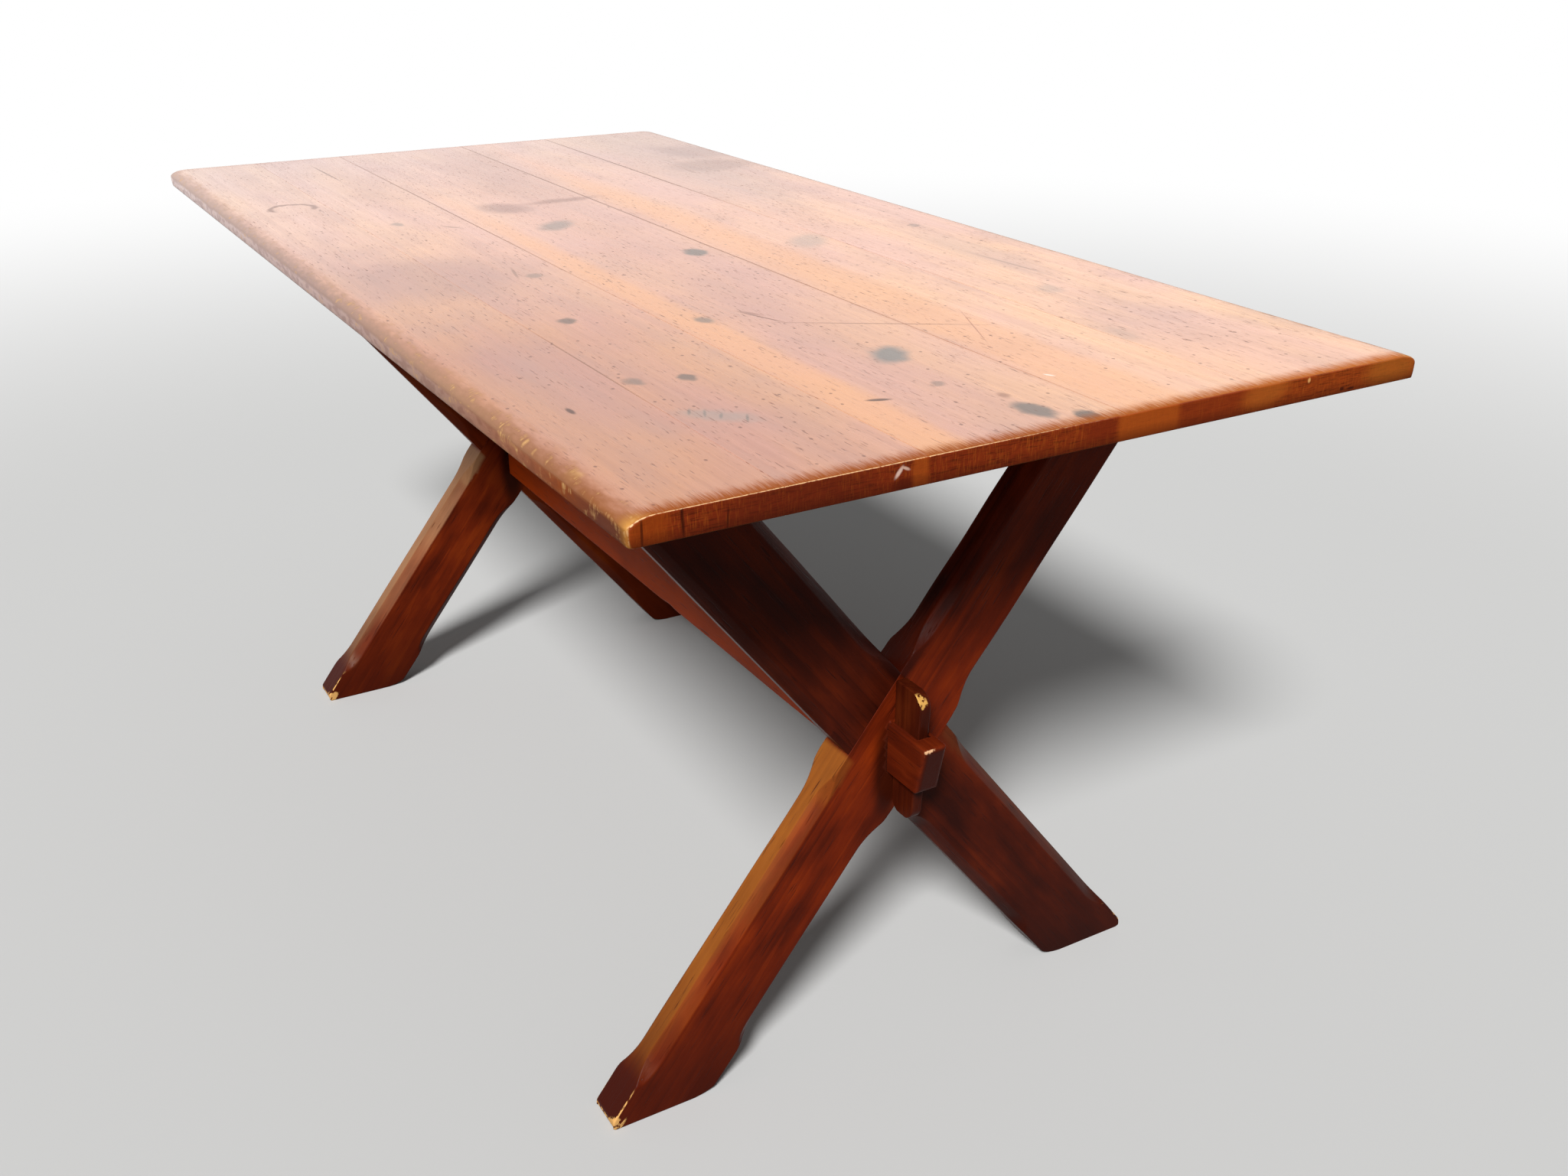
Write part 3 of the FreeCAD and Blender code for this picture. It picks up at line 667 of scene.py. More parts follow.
def rail_rings():
    """The stretcher's rings along x: tenon, board, tenon, with the board's arrises worn by differing amounts.

    Below its top edge each tenon's end leans back. Its top edge has a painted highlight at one corner, and its end
    grain is dark. The board is paler, which paints the light that reaches it from the side.
    """
    shoulder_low, shoulder_high = REAR_FACE + LEG_THICKNESS, FRONT_FACE - LEG_THICKNESS
    tip = np.array([0, 0.3, 0.9, 1.8, 3.2, 5.0])
    low_end = np.concatenate([REAR_FACE - TENON_REACH + tip, np.linspace(REAR_FACE - 54, shoulder_low, 24)])
    fine = np.array([0, 0.3, 0.8, 1.6, 3])
    board = np.concatenate([shoulder_low + fine, np.linspace(shoulder_low + 8, shoulder_high - 8, 190),
                            (shoulder_high - fine)[::-1]])
    high_end = np.concatenate([np.linspace(shoulder_high, FRONT_FACE + 54, 24),
                               (FRONT_FACE + TENON_REACH - tip)[::-1]])
    x = np.concatenate([low_end, board, high_end])
    is_board = np.repeat([False, True, False], [len(low_end), len(board), len(high_end)])
    gap = np.minimum(x - (REAR_FACE - TENON_REACH), FRONT_FACE + TENON_REACH - x)
    tuck = np.where(is_board, arris(np.minimum(x - shoulder_low, shoulder_high - x), SHOULDER_ARRIS),
                    arris(gap, TENON_ROUND))
    low = np.where(is_board, RAIL_LOW, TENON_LOW) + tuck
    high = np.where(is_board, RAIL_HIGH, TENON_HIGH) - tuck
    half = np.where(is_board, RAIL_HALF, TENON_HALF) - tuck
    worn = RAIL_ARRIS + 0.8 * waves(x, 0, 77, 230) + DENT_DEPTH * np.exp(-((x - DENT_X) / DENT_LENGTH) ** 2)
    radius = np.where(is_board, np.clip(worn, 1.2, 5), TENON_ARRIS)
    nothing = [np.zeros_like(x)] * 4
    across, through = np.linspace(-1, 1, 15), np.array([-1, -0.8, -0.4, 0.4, 0.8, 1])
    v, d, exposed = timber_section((low, high), (-half, half), nothing, radius, across, through)
    d = d - np.sign(d) * PLANED * (1 + waves(x[:, None], v * 2, 78, 200)) * is_board[:, None]
    lean = np.clip(1 - gap / 50, 0, 1)[:, None] * np.clip((TENON_HIGH - v) / (TENON_HIGH - TENON_LOW), 0, 1)
    x = x[:, None] - np.sign(x)[:, None] * TENON_CUT_BACK * lean * ~is_board[:, None]
    # Painted highlight: a pale line along the tenon's top front edge, near one corner.
    tip_highlight = np.clip(1.3 - np.abs(gap - 1.6) / 1.6, 0, 1)[:, None] * (v > TENON_HIGH - 6)
    tip_highlight = tip_highlight * np.clip(0.35 - d / 12, 0, 0.8)
    # The board's paler share is painted light from the side; the tenon's ends are soaked dark.
    marks = {"wear_and_highlight": np.where(is_board[:, None], 0.12 * exposed * (v > RAIL_LOW + 40), tip_highlight),
             "thinned_and_lit": 0.9 * is_board[:, None], "soaked_and_shaded": np.clip(1 - gap / 1.5, 0, 1)[:, None]}
    return np.stack([np.broadcast_to(x, v.shape), d, v], -1), marks


stretcher = loft("wedged_stretcher", *rail_rings())
for face, out in ((FRONT_FACE, 1), (REAR_FACE, -1)):
    low, high = TENON_LOW - SLOT_OVERRUN, TENON_HIGH + SLOT_OVERRUN
    inner = face - out * SLOT_RELIEF
    cut_slot(stretcher, [(inner, low), (face + out * (wedge_edge(low) + CLEARANCE), low),
                         (face + out * (wedge_edge(high) + CLEARANCE), high), (inner, high)][::out],
             WEDGE_HALF + CLEARANCE)
finish_shape(stretcher, "stretcher", "table")

# %% [markdown]
# ## Wedges
# A wedge is a thin tapered key. Its straight edge bears on the trestle and its sloping edge pulls the tenon
# tight. The top corner is rounded off where it is struck, and the tip is rounded so that it starts easily.

# %% Wedges
WEDGE_LOW, WEDGE_HIGH = TENON_LOW - 43, TENON_HIGH + 47
CROWN_WIDTH, CROWN_DROP, TIP_ROUND = 20.0, 16.0, 13.0
WEDGE_ARRIS, WEDGE_HEEL = 1.3, 3.0
STRUCK_BELOW, STRUCK_LENGTH = 8, 5


def wedge_rings(face, out):
    """A wedge's rings going up: the straight edge, the sloping edge, and the curves of the crown and the tip.

    The crown's outer edge is knocked bare where the mallet strikes it.
    """
    near = np.array([0, 0.15, 0.5, 1.1, 2, 3.2, 4.8, 6.8, 9.2, 12, 15, 19])
    z = np.concatenate([WEDGE_LOW + near, np.linspace(WEDGE_LOW + 23, WEDGE_HIGH - 23, 30),
                        (WEDGE_HIGH - near)[::-1]])
    rise = np.clip(1 - (WEDGE_HIGH - z) / CROWN_DROP, 0, 1)
    crown = CROWN_WIDTH * (1 - np.sqrt(np.clip(1 - rise ** 2, 0, 1)))
    tip = arris(z - WEDGE_LOW, TIP_ROUND)
    heel = arris(WEDGE_HIGH - z, WEDGE_HEEL)
    edge = arris(np.minimum(z - WEDGE_LOW, WEDGE_HIGH - z), WEDGE_ARRIS)
    inner = CLEARANCE + tip + heel
    outer = wedge_edge(z) - tip - crown
    half = WEDGE_HALF - edge
    nothing = [np.zeros_like(z)] * 4
    radius = np.minimum(WEDGE_ARRIS, np.minimum(half, (outer - inner) / 2) * 0.9)
    through = np.array([-1, -0.6, 0.6, 1.0])
    v, d, _ = timber_section((inner, outer), (-half, half), nothing, radius, np.linspace(-1, 1, 9), through)
    rim = np.clip((v - outer[:, None] + 1.6) / 1.2, 0, 1) * np.clip(0.8 - d / 5, 0, 1)
    struck = np.exp(-((WEDGE_HIGH - STRUCK_BELOW - z) / STRUCK_LENGTH) ** 2)[:, None] * rim
    return np.stack([face + out * v, d, np.broadcast_to(z[:, None], v.shape)], -1), {"wear_and_highlight": 2.0 * struck}


wedges = {}
for name, face, out in (("front_wedge", FRONT_FACE, 1.0), ("rear_wedge", REAR_FACE, -1.0)):
    wedge = loft(name.replace("wedge", "tapered_wedge"), *wedge_rings(face, out))
    finish_shape(wedge, name, name)
    wedges[name] = wedge

# %% [markdown]
# ## Dark stained pine
# Legs, stretcher and wedges are soft pine under a red-brown stain and varnish. Pine takes stain unevenly: the
# early wood between the rings drinks more, so soft bands along the grain differ in depth, and knocks show as short
# dark dashes. Feet and end grain soak up stain and dirt, and a few knocked corners are down to bare yellow wood.
# Edges that shoes and sleeves brush go thin and amber, and the same amber is painted light where the light falls
# on the open edges. The fork over the crossing and the lower edge of the lower arms are painted shade, and the
# corner beside the tenon holds the tenon's painted shadow with some grime. One function makes this finish for any
# direction of grain, so each leg's figure runs along that leg.

# %% Dark stained pine
# Sizes are in mm, along the grain and across it. Real fibres are finer than a hair, so they are drawn 1 mm wide to
# show. At the scale of ONE_RING a wave texture repeats once per unit, so a ring is as wide as its size says.
ONE_RING = 0.314
STAINED_SIZES = {"rings": (170, 5, 5), "streaks": (120, 7, 7), "fibres": (30, 1.0, 1.0),
                 "clouds": (90, 38, 38), "dashes": (34, 2.2, 2.2), "chips": (9, 5, 5)}
TENON_CORNER, TENON_CORNER_SIZE = (0.0, -0.013, 0.312), (100.0, 0.017, 0.062)
PINE_SHEEN = 0.045


def stained_pine(name, grain, across, heart, tones, amber, bare_wood, gloss, shadow_and_grime=0.0):
    """Stained and varnished pine whose grain runs along a direction.

    heart is a point, in mm, on the line that the growth rings circle. tones are the stain's dark, middle and
    light, amber is thin stain and also painted light on the open edges, bare_wood shows on knocked corners, and
    gloss is the varnish's middle roughness.
    The last argument sets how dark the corner beside the tenon is painted: the tenon's painted shadow, with
    some dirt.
    """
    material, tree = new_material(name)
    turn = mathutils.Matrix((grain, across, np.cross(grain, across))).transposed().to_euler()
    place = add(tree, "TexCoord", out="Object")
    at = {key: add(tree, "Mapping", {"vector_type": "TEXTURE"},
                   {"Vector": place, "Location": [MM * v for v in heart], "Rotation": turn,
                    "Scale": [MM * v for v in size]}) for key, size in STAINED_SIZES.items()}
    rings = add(tree, "TexWave", {"wave_type": "RINGS", "rings_direction": "X", "wave_profile": "SAW"},
                {"Vector": at["rings"], "Scale": ONE_RING, "Distortion": 5.0, "Detail": 2.0,
                 "Detail Scale": 0.6}, "Fac")
    streaks, fibres, clouds, chips, dashes = [
        add(tree, "TexNoise", None, {"Vector": at[key], "Scale": 1.0, "Detail": detail, "Roughness": rough})
        for key, detail, rough in (("streaks", 4.0, 0.6), ("fibres", 2.0, 0.5), ("clouds", 4.0, 0.5),
                                   ("chips", 3.0, 0.5), ("dashes", 1.0, 0.5))]
    tone = add(tree, "Math", {"operation": "MULTIPLY_ADD"}, {0: rings, 1: 0.1, 2: clouds})
    tone = add(tree, "Math", {"operation": "MULTIPLY_ADD"}, {0: streaks, 1: 0.35, 2: tone})
    tone = add(tree, "MapRange", None, {"Value": tone, "From Min": 0.45, "From Max": 1.0})
    wood = add(tree, "ValToRGB", None, {"Fac": tone}, stops=zip((0.0, 0.5, 1.0), tones))
    thinned_and_lit, soaked_and_shaded, worn = [add(tree, "Attribute", {"attribute_name": mark}, out="Fac")
                             for mark in ("thinned_and_lit", "soaked_and_shaded", "wear_and_highlight")]
    uneven = add(tree, "MapRange", None, {"Value": tone, "To Min": 0.6, "To Max": 1.1})
    thinned_and_lit = add(tree, "Math", {"operation": "MULTIPLY", "use_clamp": True}, {0: thinned_and_lit, 1: uneven})
    # Painted shadow of the tenon, with some grime: a dark patch on the leg in the corner beside the tenon.
    tenon_shadow_and_grime = add(tree, "Mapping", {"vector_type": "TEXTURE"},
                       {"Vector": place, "Location": TENON_CORNER, "Scale": TENON_CORNER_SIZE})
    tenon_shadow_and_grime = add(tree, "VectorMath", {"operation": "LENGTH"}, {0: tenon_shadow_and_grime}, "Value")
    tenon_shadow_and_grime = add(tree, "MapRange", {"interpolation_type": "SMOOTHSTEP"},
                       {"Value": tenon_shadow_and_grime, "From Min": 1.3, "From Max": 0.5, "To Max": shadow_and_grime})
    knocked = add(tree, "MapRange", None, {"Value": dashes, "From Min": 0.66, "From Max": 0.76, "To Max": 0.7})
    patchy = add(tree, "MapRange", None, {"Value": chips, "From Min": 0.36, "From Max": 0.56, "To Min": 0.1})
    bare = add(tree, "Math", {"operation": "MULTIPLY"}, {0: worn, 1: patchy})
    bare = add(tree, "MapRange", {"interpolation_type": "SMOOTHSTEP"},
               {"Value": bare, "From Min": 0.25, "From Max": 0.55})
    # Amber is thin stain and painted light on the open edges; the dark tone is soaked stain and painted shade.
    for share, tint in ((thinned_and_lit, amber), (soaked_and_shaded, tones[0]), (tenon_shadow_and_grime, "#1E0804"), (knocked, tones[0]),
                        (bare, bare_wood)):
        wood = add(tree, "Mix", {"data_type": "RGBA"}, {"Factor": share, "A": wood, "B": tint})
    rough = add(tree, "MapRange", None, {"Value": streaks, "To Min": gloss - 0.15, "To Max": gloss + 0.15})
    rough = add(tree, "Math", {"operation": "MULTIPLY_ADD"}, {0: bare, 1: 0.2, 2: rough})
    height = add(tree, "Math", {"operation": "MULTIPLY_ADD"}, {0: fibres, 1: 0.4, 2: streaks})
    height = add(tree, "Math", {"operation": "SUBTRACT"}, {0: height, 1: knocked})
    relief = add(tree, "Bump", None, {"Strength": 0.6, "Distance": 0.0005, "Height": height})
    surface = add(tree, "BsdfPrincipled", None, {"Base Color": wood, "Roughness": rough, "Normal": relief,
                                                 "Specular IOR Level": PINE_SHEEN})
    add(tree, "OutputMaterial", None, {"Surface": surface})
    return material


print("patterns in the stained pine:", ", ".join(STAINED_SIZES))

# %% [markdown]
# ## Staining the legs, stretcher, wedges and cleats
# Each piece took the stain a little differently, so each gets its own three tones. The rear legs are lighter,
# partly painted light that reaches them from the side, and the near trestle's inner leg is the darkest, partly
# painted shade. The cleats, out of sight under the top, were left a plainer brown and a duller finish.

# %% Staining the legs, stretcher, wedges and cleats
RISING = np.array([0.0, COS, SIN])
FACING = np.array([0.0, -SIN, COS])
ALONG, UP, SIDEWAYS = (1.0, 0.0, 0.0), (0.0, 0.0, 1.0), (0.0, 1.0, 0.0)
LEG_BARE, LEG_GLOSS, LEG_SHADOW_AND_GRIME = "#C9985A", 0.38, 0.85
# Rear legs' lighter tones are partly painted light; the near inner leg's darker tones are partly painted shade.
LEG_TONES_LIT_AND_SHADED = {
    "front_outer_leg": (("#380E05", "#641E08", "#842E0A"), "#8E521E"),
    "front_inner_leg": (("#280A05", "#441407", "#60200A"), "#56301A"),
    "rear_outer_leg": (("#4A1606", "#702608", "#8C3A0C"), "#86501F"),
    "rear_inner_leg": (("#380E05", "#601E08", "#7E300C"), "#906848")}

for number, (name, leg) in enumerate(legs.items()):
    mirror = np.array([1.0, -1.0, 1.0]) if name in ("front_inner_leg", "rear_outer_leg") else np.ones(3)
    centre_x = FRONT_X if name.startswith("front") else REAR_X
    heart = (centre_x - 60.0, 25.0 - 10.0 * number, CROSSING_Z)
    finish = stained_pine("red_brown_pine_" + name, RISING * mirror, FACING * mirror, heart, *LEG_TONES_LIT_AND_SHADED[name],
                          LEG_BARE, LEG_GLOSS, LEG_SHADOW_AND_GRIME)
    leg.data.materials.append(finish)

stretcher_pine = stained_pine("red_brown_pine_stretcher", ALONG, UP, (40.0, 70.0, 330.0),
                              ("#361008", "#541907", "#70280C"), "#BC4612", "#CDA078", 0.42)
stretcher.data.materials.append(stretcher_pine)
wedge_pine = stained_pine("red_brown_pine_wedges", UP, ALONG, (FRONT_X, 45.0, 330.0),
                          ("#280A04", "#3E1206", "#56200A"), "#6A3A18", "#C0924C", 0.4)
for wedge in wedges.values():
    wedge.data.materials.append(wedge_pine)
cleat_pine = stained_pine("brown_pine_cleats", SIDEWAYS, UP, (0.0, 0.0, 620.0),
                          ("#5E3018", "#8A5028", "#A86C3C"), "#A86C3C", "#B98A58", 0.6)
for name in ("front_cleat", "rear_cleat"):
    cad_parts[name].data.materials.clear()
    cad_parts[name].data.materials.append(cleat_pine)
print("stained pine materials", len(legs) + 3)

# %% [markdown]
# ## Screw steel
# The screws that hold the top on are plain steel gone dull in the dark. A faint brown bloom and a patchy shine keep
# the heads from looking like chrome.

# %% Screw steel
SCREW_NODES = ("front_top_screws", "rear_top_screws", "front_leg_screws", "rear_leg_screws")
BLOOM_SIZE = 2.5

screw_steel, tree = new_material("dull_turned_steel")
place = add(tree, "TexCoord", out="Object")
bloom = add(tree, "TexNoise", None, {"Vector": place, "Scale": 1.0 / (BLOOM_SIZE * MM), "Detail": 3.0})
colour = add(tree, "ValToRGB", None, {"Fac": bloom}, stops=((0.35, "#8E8B86"), (0.7, "#6A5A4C")))
rough = add(tree, "MapRange", None, {"Value": bloom, "To Min": 0.3, "To Max": 0.7})
relief = add(tree, "Bump", None, {"Strength": 0.3, "Distance": 0.0002, "Height": bloom})
surface = add(tree, "BsdfPrincipled", None,
              {"Base Color": colour, "Roughness": rough, "Metallic": 1.0, "Normal": relief})
add(tree, "OutputMaterial", None, {"Surface": surface})
for name in SCREW_NODES:
    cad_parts[name].data.materials.clear()
    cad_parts[name].data.materials.append(screw_steel)
print("screw nodes", len(SCREW_NODES))

# %% [markdown]
# ## Marks on the table top
# The top carries the table's history: paler sapwood strips, mauve stains, grey knots, gouges and scratches, a
# crescent, dark glue lines and a knocked end. Each mark is an ellipse with its own place, size and turn, so the
# lists below read like a survey of the top.

# %% Marks on the table top
# Each mark: x, y, half length, half width in mm, turn in degrees, tint, strength, softness of the rim.
STAINS = [
    (-170, 60, 480, 330, 0, "#E6A896", 0.3, 0.8), (620, 84, 1150, 36, 0, "#EBAB78", 0.55, 0.4),
    (640, -120, 880, 21, 0, "#EBAB78", 0.55, 0.4),
    (130, -15, 620, 70, 0, "#C4968A", 0.3, 0.6), (60, -270, 95, 85, 20, "#AA837C", 0.5, 0.5),
    (470, -310, 170, 40, 0, "#B58F86", 0.3, 0.6), (604, -229, 31, 12, 44, "#94908A", 0.45, 0.5),
    (-560, 300, 240, 90, 0, "#B39B91", 0.4, 0.6), (-530, 333, 60, 42, 15, "#9C7D77", 0.45, 0.5),
    (-270, 250, 150, 60, 0, "#B8A097", 0.35, 0.7), (664, -376, 9, 6, 10, "#E0B070", 0.8, 0.5),
    (-410, 303, 45, 60, 0, "#9E7C73", 0.5, 0.4), (-480, 10, 250, 50, 0, "#BC968A", 0.4, 0.6),
    (-270, 12, 12, 45, 3, "#96695C", 0.65, 0.6), (-255, -72, 36, 26, 25, "#9A7268", 0.65, 0.5),
    (100, 158, 36, 20, -35, "#A3948B", 0.5, 0.5), (250, 290, 120, 25, 0, "#B7998E", 0.4, 0.6),
    (415, 253, 17, 11, -20, "#A8978C", 0.45, 0.6), (585, 200, 24, 10, -15, "#B09588", 0.4, 0.6),
    (690, 240, 90, 110, 0, "#E5AC84", 0.3, 0.7)]
KNOTS = [
    (88, 20, 19, 12, -10, "#6C665F", 0.85, 0.35), (533, -21, 25, 16, -30, "#737674", 0.85, 0.45),
    (717, -9, 22, 12, 5, "#68625C", 0.85, 0.35), (747, 19, 12, 9, 0, "#5E564F", 0.9, 0.3),
    (-125, -57, 30, 17, -40, "#857A73", 0.7, 0.5), (347, -107, 12, 8, 0, "#776A61", 0.75, 0.45),
    (286, -219, 10, 8, 0, "#63544B", 0.8, 0.4), (504, -204, 10, 7, 0, "#63564E", 0.8, 0.4),
    (492, -248, 11, 7, 10, "#75655B", 0.7, 0.5), (-228, -219, 11, 6, 0, "#8A7A70", 0.6, 0.5),
    (100, -177, 10, 9, 0, "#846F64", 0.6, 0.5), (623, -34, 7, 6, 0, "#7D6A60", 0.6, 0.5),
    (675, -7, 7, 5, 0, "#8A5A44", 0.6, 0.5), (90, 312, 7, 7, 0, "#8A746A", 0.6, 0.5)]
SCRATCHES = [
    (634, -100, 3, 10, -20, "#45281C", 0.85, 0.4), (537, -323, 8, 2.5, 0, "#4A2C20", 0.85, 0.4),
    (448, -387, 16, 5, 0, "#4A2C20", 0.6, 0.5), (443, 30, 92, 1.0, 57, "#74442F", 0.8, 0.5),
    (367, -54, 28, 1.2, 19, "#74442F", 0.8, 0.5), (348, -57, 13, 3, 24, "#8C5A4A", 0.6, 0.6),
    (585, -244, 7, 1.3, -27, "#6A6A64", 0.6, 0.6), (594, -235, 8, 1.2, -25, "#6A6A64", 0.55, 0.6),
    (606, -227, 6, 1.4, -30, "#6A6A64", 0.55, 0.6), (621, -212, 8, 1.2, -27, "#6A6A64", 0.6, 0.6),
    (495, 98, 49, 0.6, -24, "#9A5E46", 0.7, 0.5), (650, 60, 5, 1.6, 30, "#F6E4D4", 0.9, 0.4),
    (-620, -197, 62, 1.3, 1, "#7A5546", 0.8, 0.5), (-380, 254, 18, 1, 0, "#7A5546", 0.6, 0.5),
    (80, -190, 22, 1.6, -12, "#86604F", 0.6, 0.6), (300, 286, 55, 1.6, 4, "#94735F", 0.6, 0.6),
    (-180, -168, 14, 2.5, 35, "#94735F", 0.6, 0.6)]
GLUE_LINES = [
    (-200, -261, 1100, 0.6, 0, "#8C6450", 0.35, 0.6), (430, -261, 110, 0.9, 0, "#7A5A4A", 0.6, 0.6),
    (-330, -140, 460, 1.1, 0, "#6E4838", 0.7, 0.6),
    (400, -140, 600, 0.6, 0, "#9A6C52", 0.35, 0.6), (-330, 48, 640, 1.2, 0, "#6E4838", 0.7, 0.6),
    (350, 48, 560, 0.9, 0, "#86563F", 0.5, 0.6), (-480, 188, 330, 1.4, 0, "#654032", 0.8, 0.6),
    (250, 188, 700, 0.6, 0, "#94664F", 0.4, 0.6)]
CRESCENT_X, CRESCENT_Y, CRESCENT_RADIUS = -390, -302, 27
CRESCENT = [(CRESCENT_X + CRESCENT_RADIUS * math.cos(math.radians(turn)),
             CRESCENT_Y + CRESCENT_RADIUS * math.sin(math.radians(turn)),
             9, 4, turn + 90, "#845A4C", 0.75, 0.6) for turn in range(70, 290, 30)]
# On the ends the first two numbers are y and z.
END_BLOCKS = [
    (-366, 726, 16, 40, 0, "#8A3A0C", 0.6, 0.4), (-250, 724, 62, 18, 0, "#501A0C", 0.6, 0.5),
    (-340, 728, 1.3, 13, 3, "#2A0A04", 0.8, 0.5), (-370, 724, 1.0, 12, 0, "#2A0A04", 0.7, 0.5),
    (-306, 722, 0.9, 8, -4, "#2A0A04", 0.6, 0.5), (-163, 719, 9, 5, 0, "#4A1408", 0.7, 0.5),
    (-148, 726, 7, 40, 0, "#984614", 0.6, 0.4), (-167, 729, 1.6, 5, -38, "#D2B2A2", 0.85, 0.5),
    (-161, 731, 3.4, 1.1, -25, "#CDA894", 0.8, 0.5), (21, 729, 16, 11, 0, "#6A220C", 0.7, 0.5),
    (70, 726, 32, 40, 0, "#984614", 0.75, 0.12), (138, 726, 37, 40, 0, "#762A0E", 0.6, 0.12),
    (197, 730, 25, 12, 10, "#A0541C", 0.6, 0.5), (288, 719, 2.5, 1.6, 0, "#2A0A06", 0.8, 0.5),
    (299, 718, 4, 1.2, 0, "#2A0A06", 0.8, 0.5), (246, 733, 1.5, 2, 0, "#D8A060", 0.8, 0.5),
    (348, 727, 30, 14, 0, "#9A561C", 0.6, 0.5)]
print("marks on the top", len(STAINS + KNOTS + CRESCENT + SCRATCHES + GLUE_LINES + END_BLOCKS))

# %% [markdown]
# ## Table top wood
# The top is the same pine with most of its stain worn and sun-bleached to salmon. It is palest at the far end,
# which is a painted reflection of the varnish's pale veil, and darker along one long side, which is painted
# shade. Under the marks the wood has soft growth rings, streaks and bruises. All sizes are in mm along the grain,
# across it and through the board, with fibres and saw marks drawn about 1 mm wide to show.

# %% Table top wood
TOP_SIZES = {"rings": (240, 6, 6), "streaks": (110, 4, 4), "fibres": (26, 0.9, 0.9), "clouds": (230, 80, 80),
             "bruises": (120, 55, 55), "dashes": (15, 1.7, 1.7), "specks": (22, 16, 16), "chips": (16, 7, 7),
             "nicks": (3, 2.5, 2.5), "hatching": (2.4, 30, 30), "end_lines": (900, 15, 0.9),
             "saw_marks": (900, 1.1, 9)}
TOP_HEART = (0.0, 0.012, -0.09)

top_pine, tree = new_material("worn_salmon_pine_under_varnish")
place = add(tree, "TexCoord", out="Object")
own = add(tree, "Attribute", {"attribute_name": "own_place"}, out="Vector")
at = {key: add(tree, "Mapping", {"vector_type": "TEXTURE"},
               {"Vector": own, "Location": TOP_HEART, "Scale": [MM * v for v in size]})
      for key, size in TOP_SIZES.items()}
rings = add(tree, "TexWave", {"wave_type": "RINGS", "rings_direction": "X", "wave_profile": "SAW"},
            {"Vector": at["rings"], "Scale": ONE_RING, "Distortion": 6.0, "Detail": 2.0,
             "Detail Scale": 0.5}, "Fac")
streaks, fibres, clouds, bruises, chips, nicks, hatching, end_lines, saw_marks, dashes = [
    add(tree, "TexNoise", None, {"Vector": at[key], "Scale": 1.0, "Detail": detail, "Roughness": rough})
    for key, detail, rough in (("streaks", 4.0, 0.6), ("fibres", 2.0, 0.5), ("clouds", 3.0, 0.5),
                               ("bruises", 4.0, 0.5), ("chips", 3.0, 0.5), ("nicks", 2.0, 0.5),
                               ("hatching", 2.0, 0.5), ("end_lines", 2.0, 0.5), ("saw_marks", 2.0, 0.5),
                               ("dashes", 1.0, 0.5))]
specks = add(tree, "TexVoronoi", None, {"Vector": at["specks"], "Scale": 1.0}, "Distance")
axes = add(tree, "SeparateXYZ", None, {"Vector": place}, "X").node.outputs

bleached = add(tree, "MapRange", None, {"Value": clouds, "From Min": 0.35, "From Max": 0.65})
wood = add(tree, "Mix", {"data_type": "RGBA"}, {"Factor": bleached, "A": "#ECBCA8", "B": "#F6C49C"})
# Paler and greyer towards the far end: a painted reflection of the varnish's veil.
paler_far_off = add(tree, "MapRange", None, {"Value": axes["X"], "From Min": 0.3, "From Max": -0.76, "To Max": 0.55})
wood = add(tree, "Mix", {"data_type": "RGBA"}, {"Factor": paler_far_off, "A": wood, "B": "#CBBCBC"})
# Darker towards the -y long side, near the front end: painted shade.
toward_front = add(tree, "MapRange", None, {"Value": axes["X"], "From Min": -0.25, "From Max": 0.35})
side_shade = add(tree, "MapRange", {"interpolation_type": "SMOOTHSTEP"},
              {"Value": axes["Y"], "From Min": 0.25, "From Max": -0.37, "To Max": toward_front})
wood = add(tree, "Mix", {"data_type": "RGBA", "blend_type": "MULTIPLY"},
           {"Factor": side_shade, "A": wood, "B": "#D0BDBA"})
tone = add(tree, "Math", {"operation": "MULTIPLY_ADD"}, {0: rings, 1: 0.2, 2: streaks})
shade = add(tree, "MapRange", None,
            {"Value": tone, "From Min": 0.4, "From Max": 0.75, "To Min": 0.22, "To Max": 0.0})
bruised = add(tree, "MapRange", None, {"Value": bruises, "From Min": 0.46, "From Max": 0.68, "To Max": 0.34})
for share, tint in ((shade, "#96614C"), (bruised, "#AE8A82")):
    wood = add(tree, "Mix", {"data_type": "RGBA"}, {"Factor": share, "A": wood, "B": tint})
print("patterns in the top:", ", ".join(TOP_SIZES))

# %% [markdown]
# ## Laying the marks on the wood
# Stains and knots have ragged rims, so the place that they read is first shaken by a few millimetres of noise.
# Scratches and glue lines are crisp and read the plain place. Short dark flecks of grain and a few round specks
# lie over all of them.

# %% Laying the marks on the wood
# Seven lumps of noise to 100 mm, and how far, in metres, they shake a place.
RAGGED_SIZE = 100 / 7
RAGGED_REACH = (0.014, 0.009, 0.0)

ragged = add(tree, "TexNoise", None,
             {"Vector": place, "Scale": 1.0 / (RAGGED_SIZE * MM), "Detail": 2.0}, "Color")
ragged = add(tree, "VectorMath", {"operation": "MULTIPLY_ADD"}, {0: ragged, 1: RAGGED_REACH, 2: place})
ragged = add(tree, "VectorMath", {"operation": "SUBTRACT"}, {0: ragged, 1: [v / 2 for v in RAGGED_REACH]})


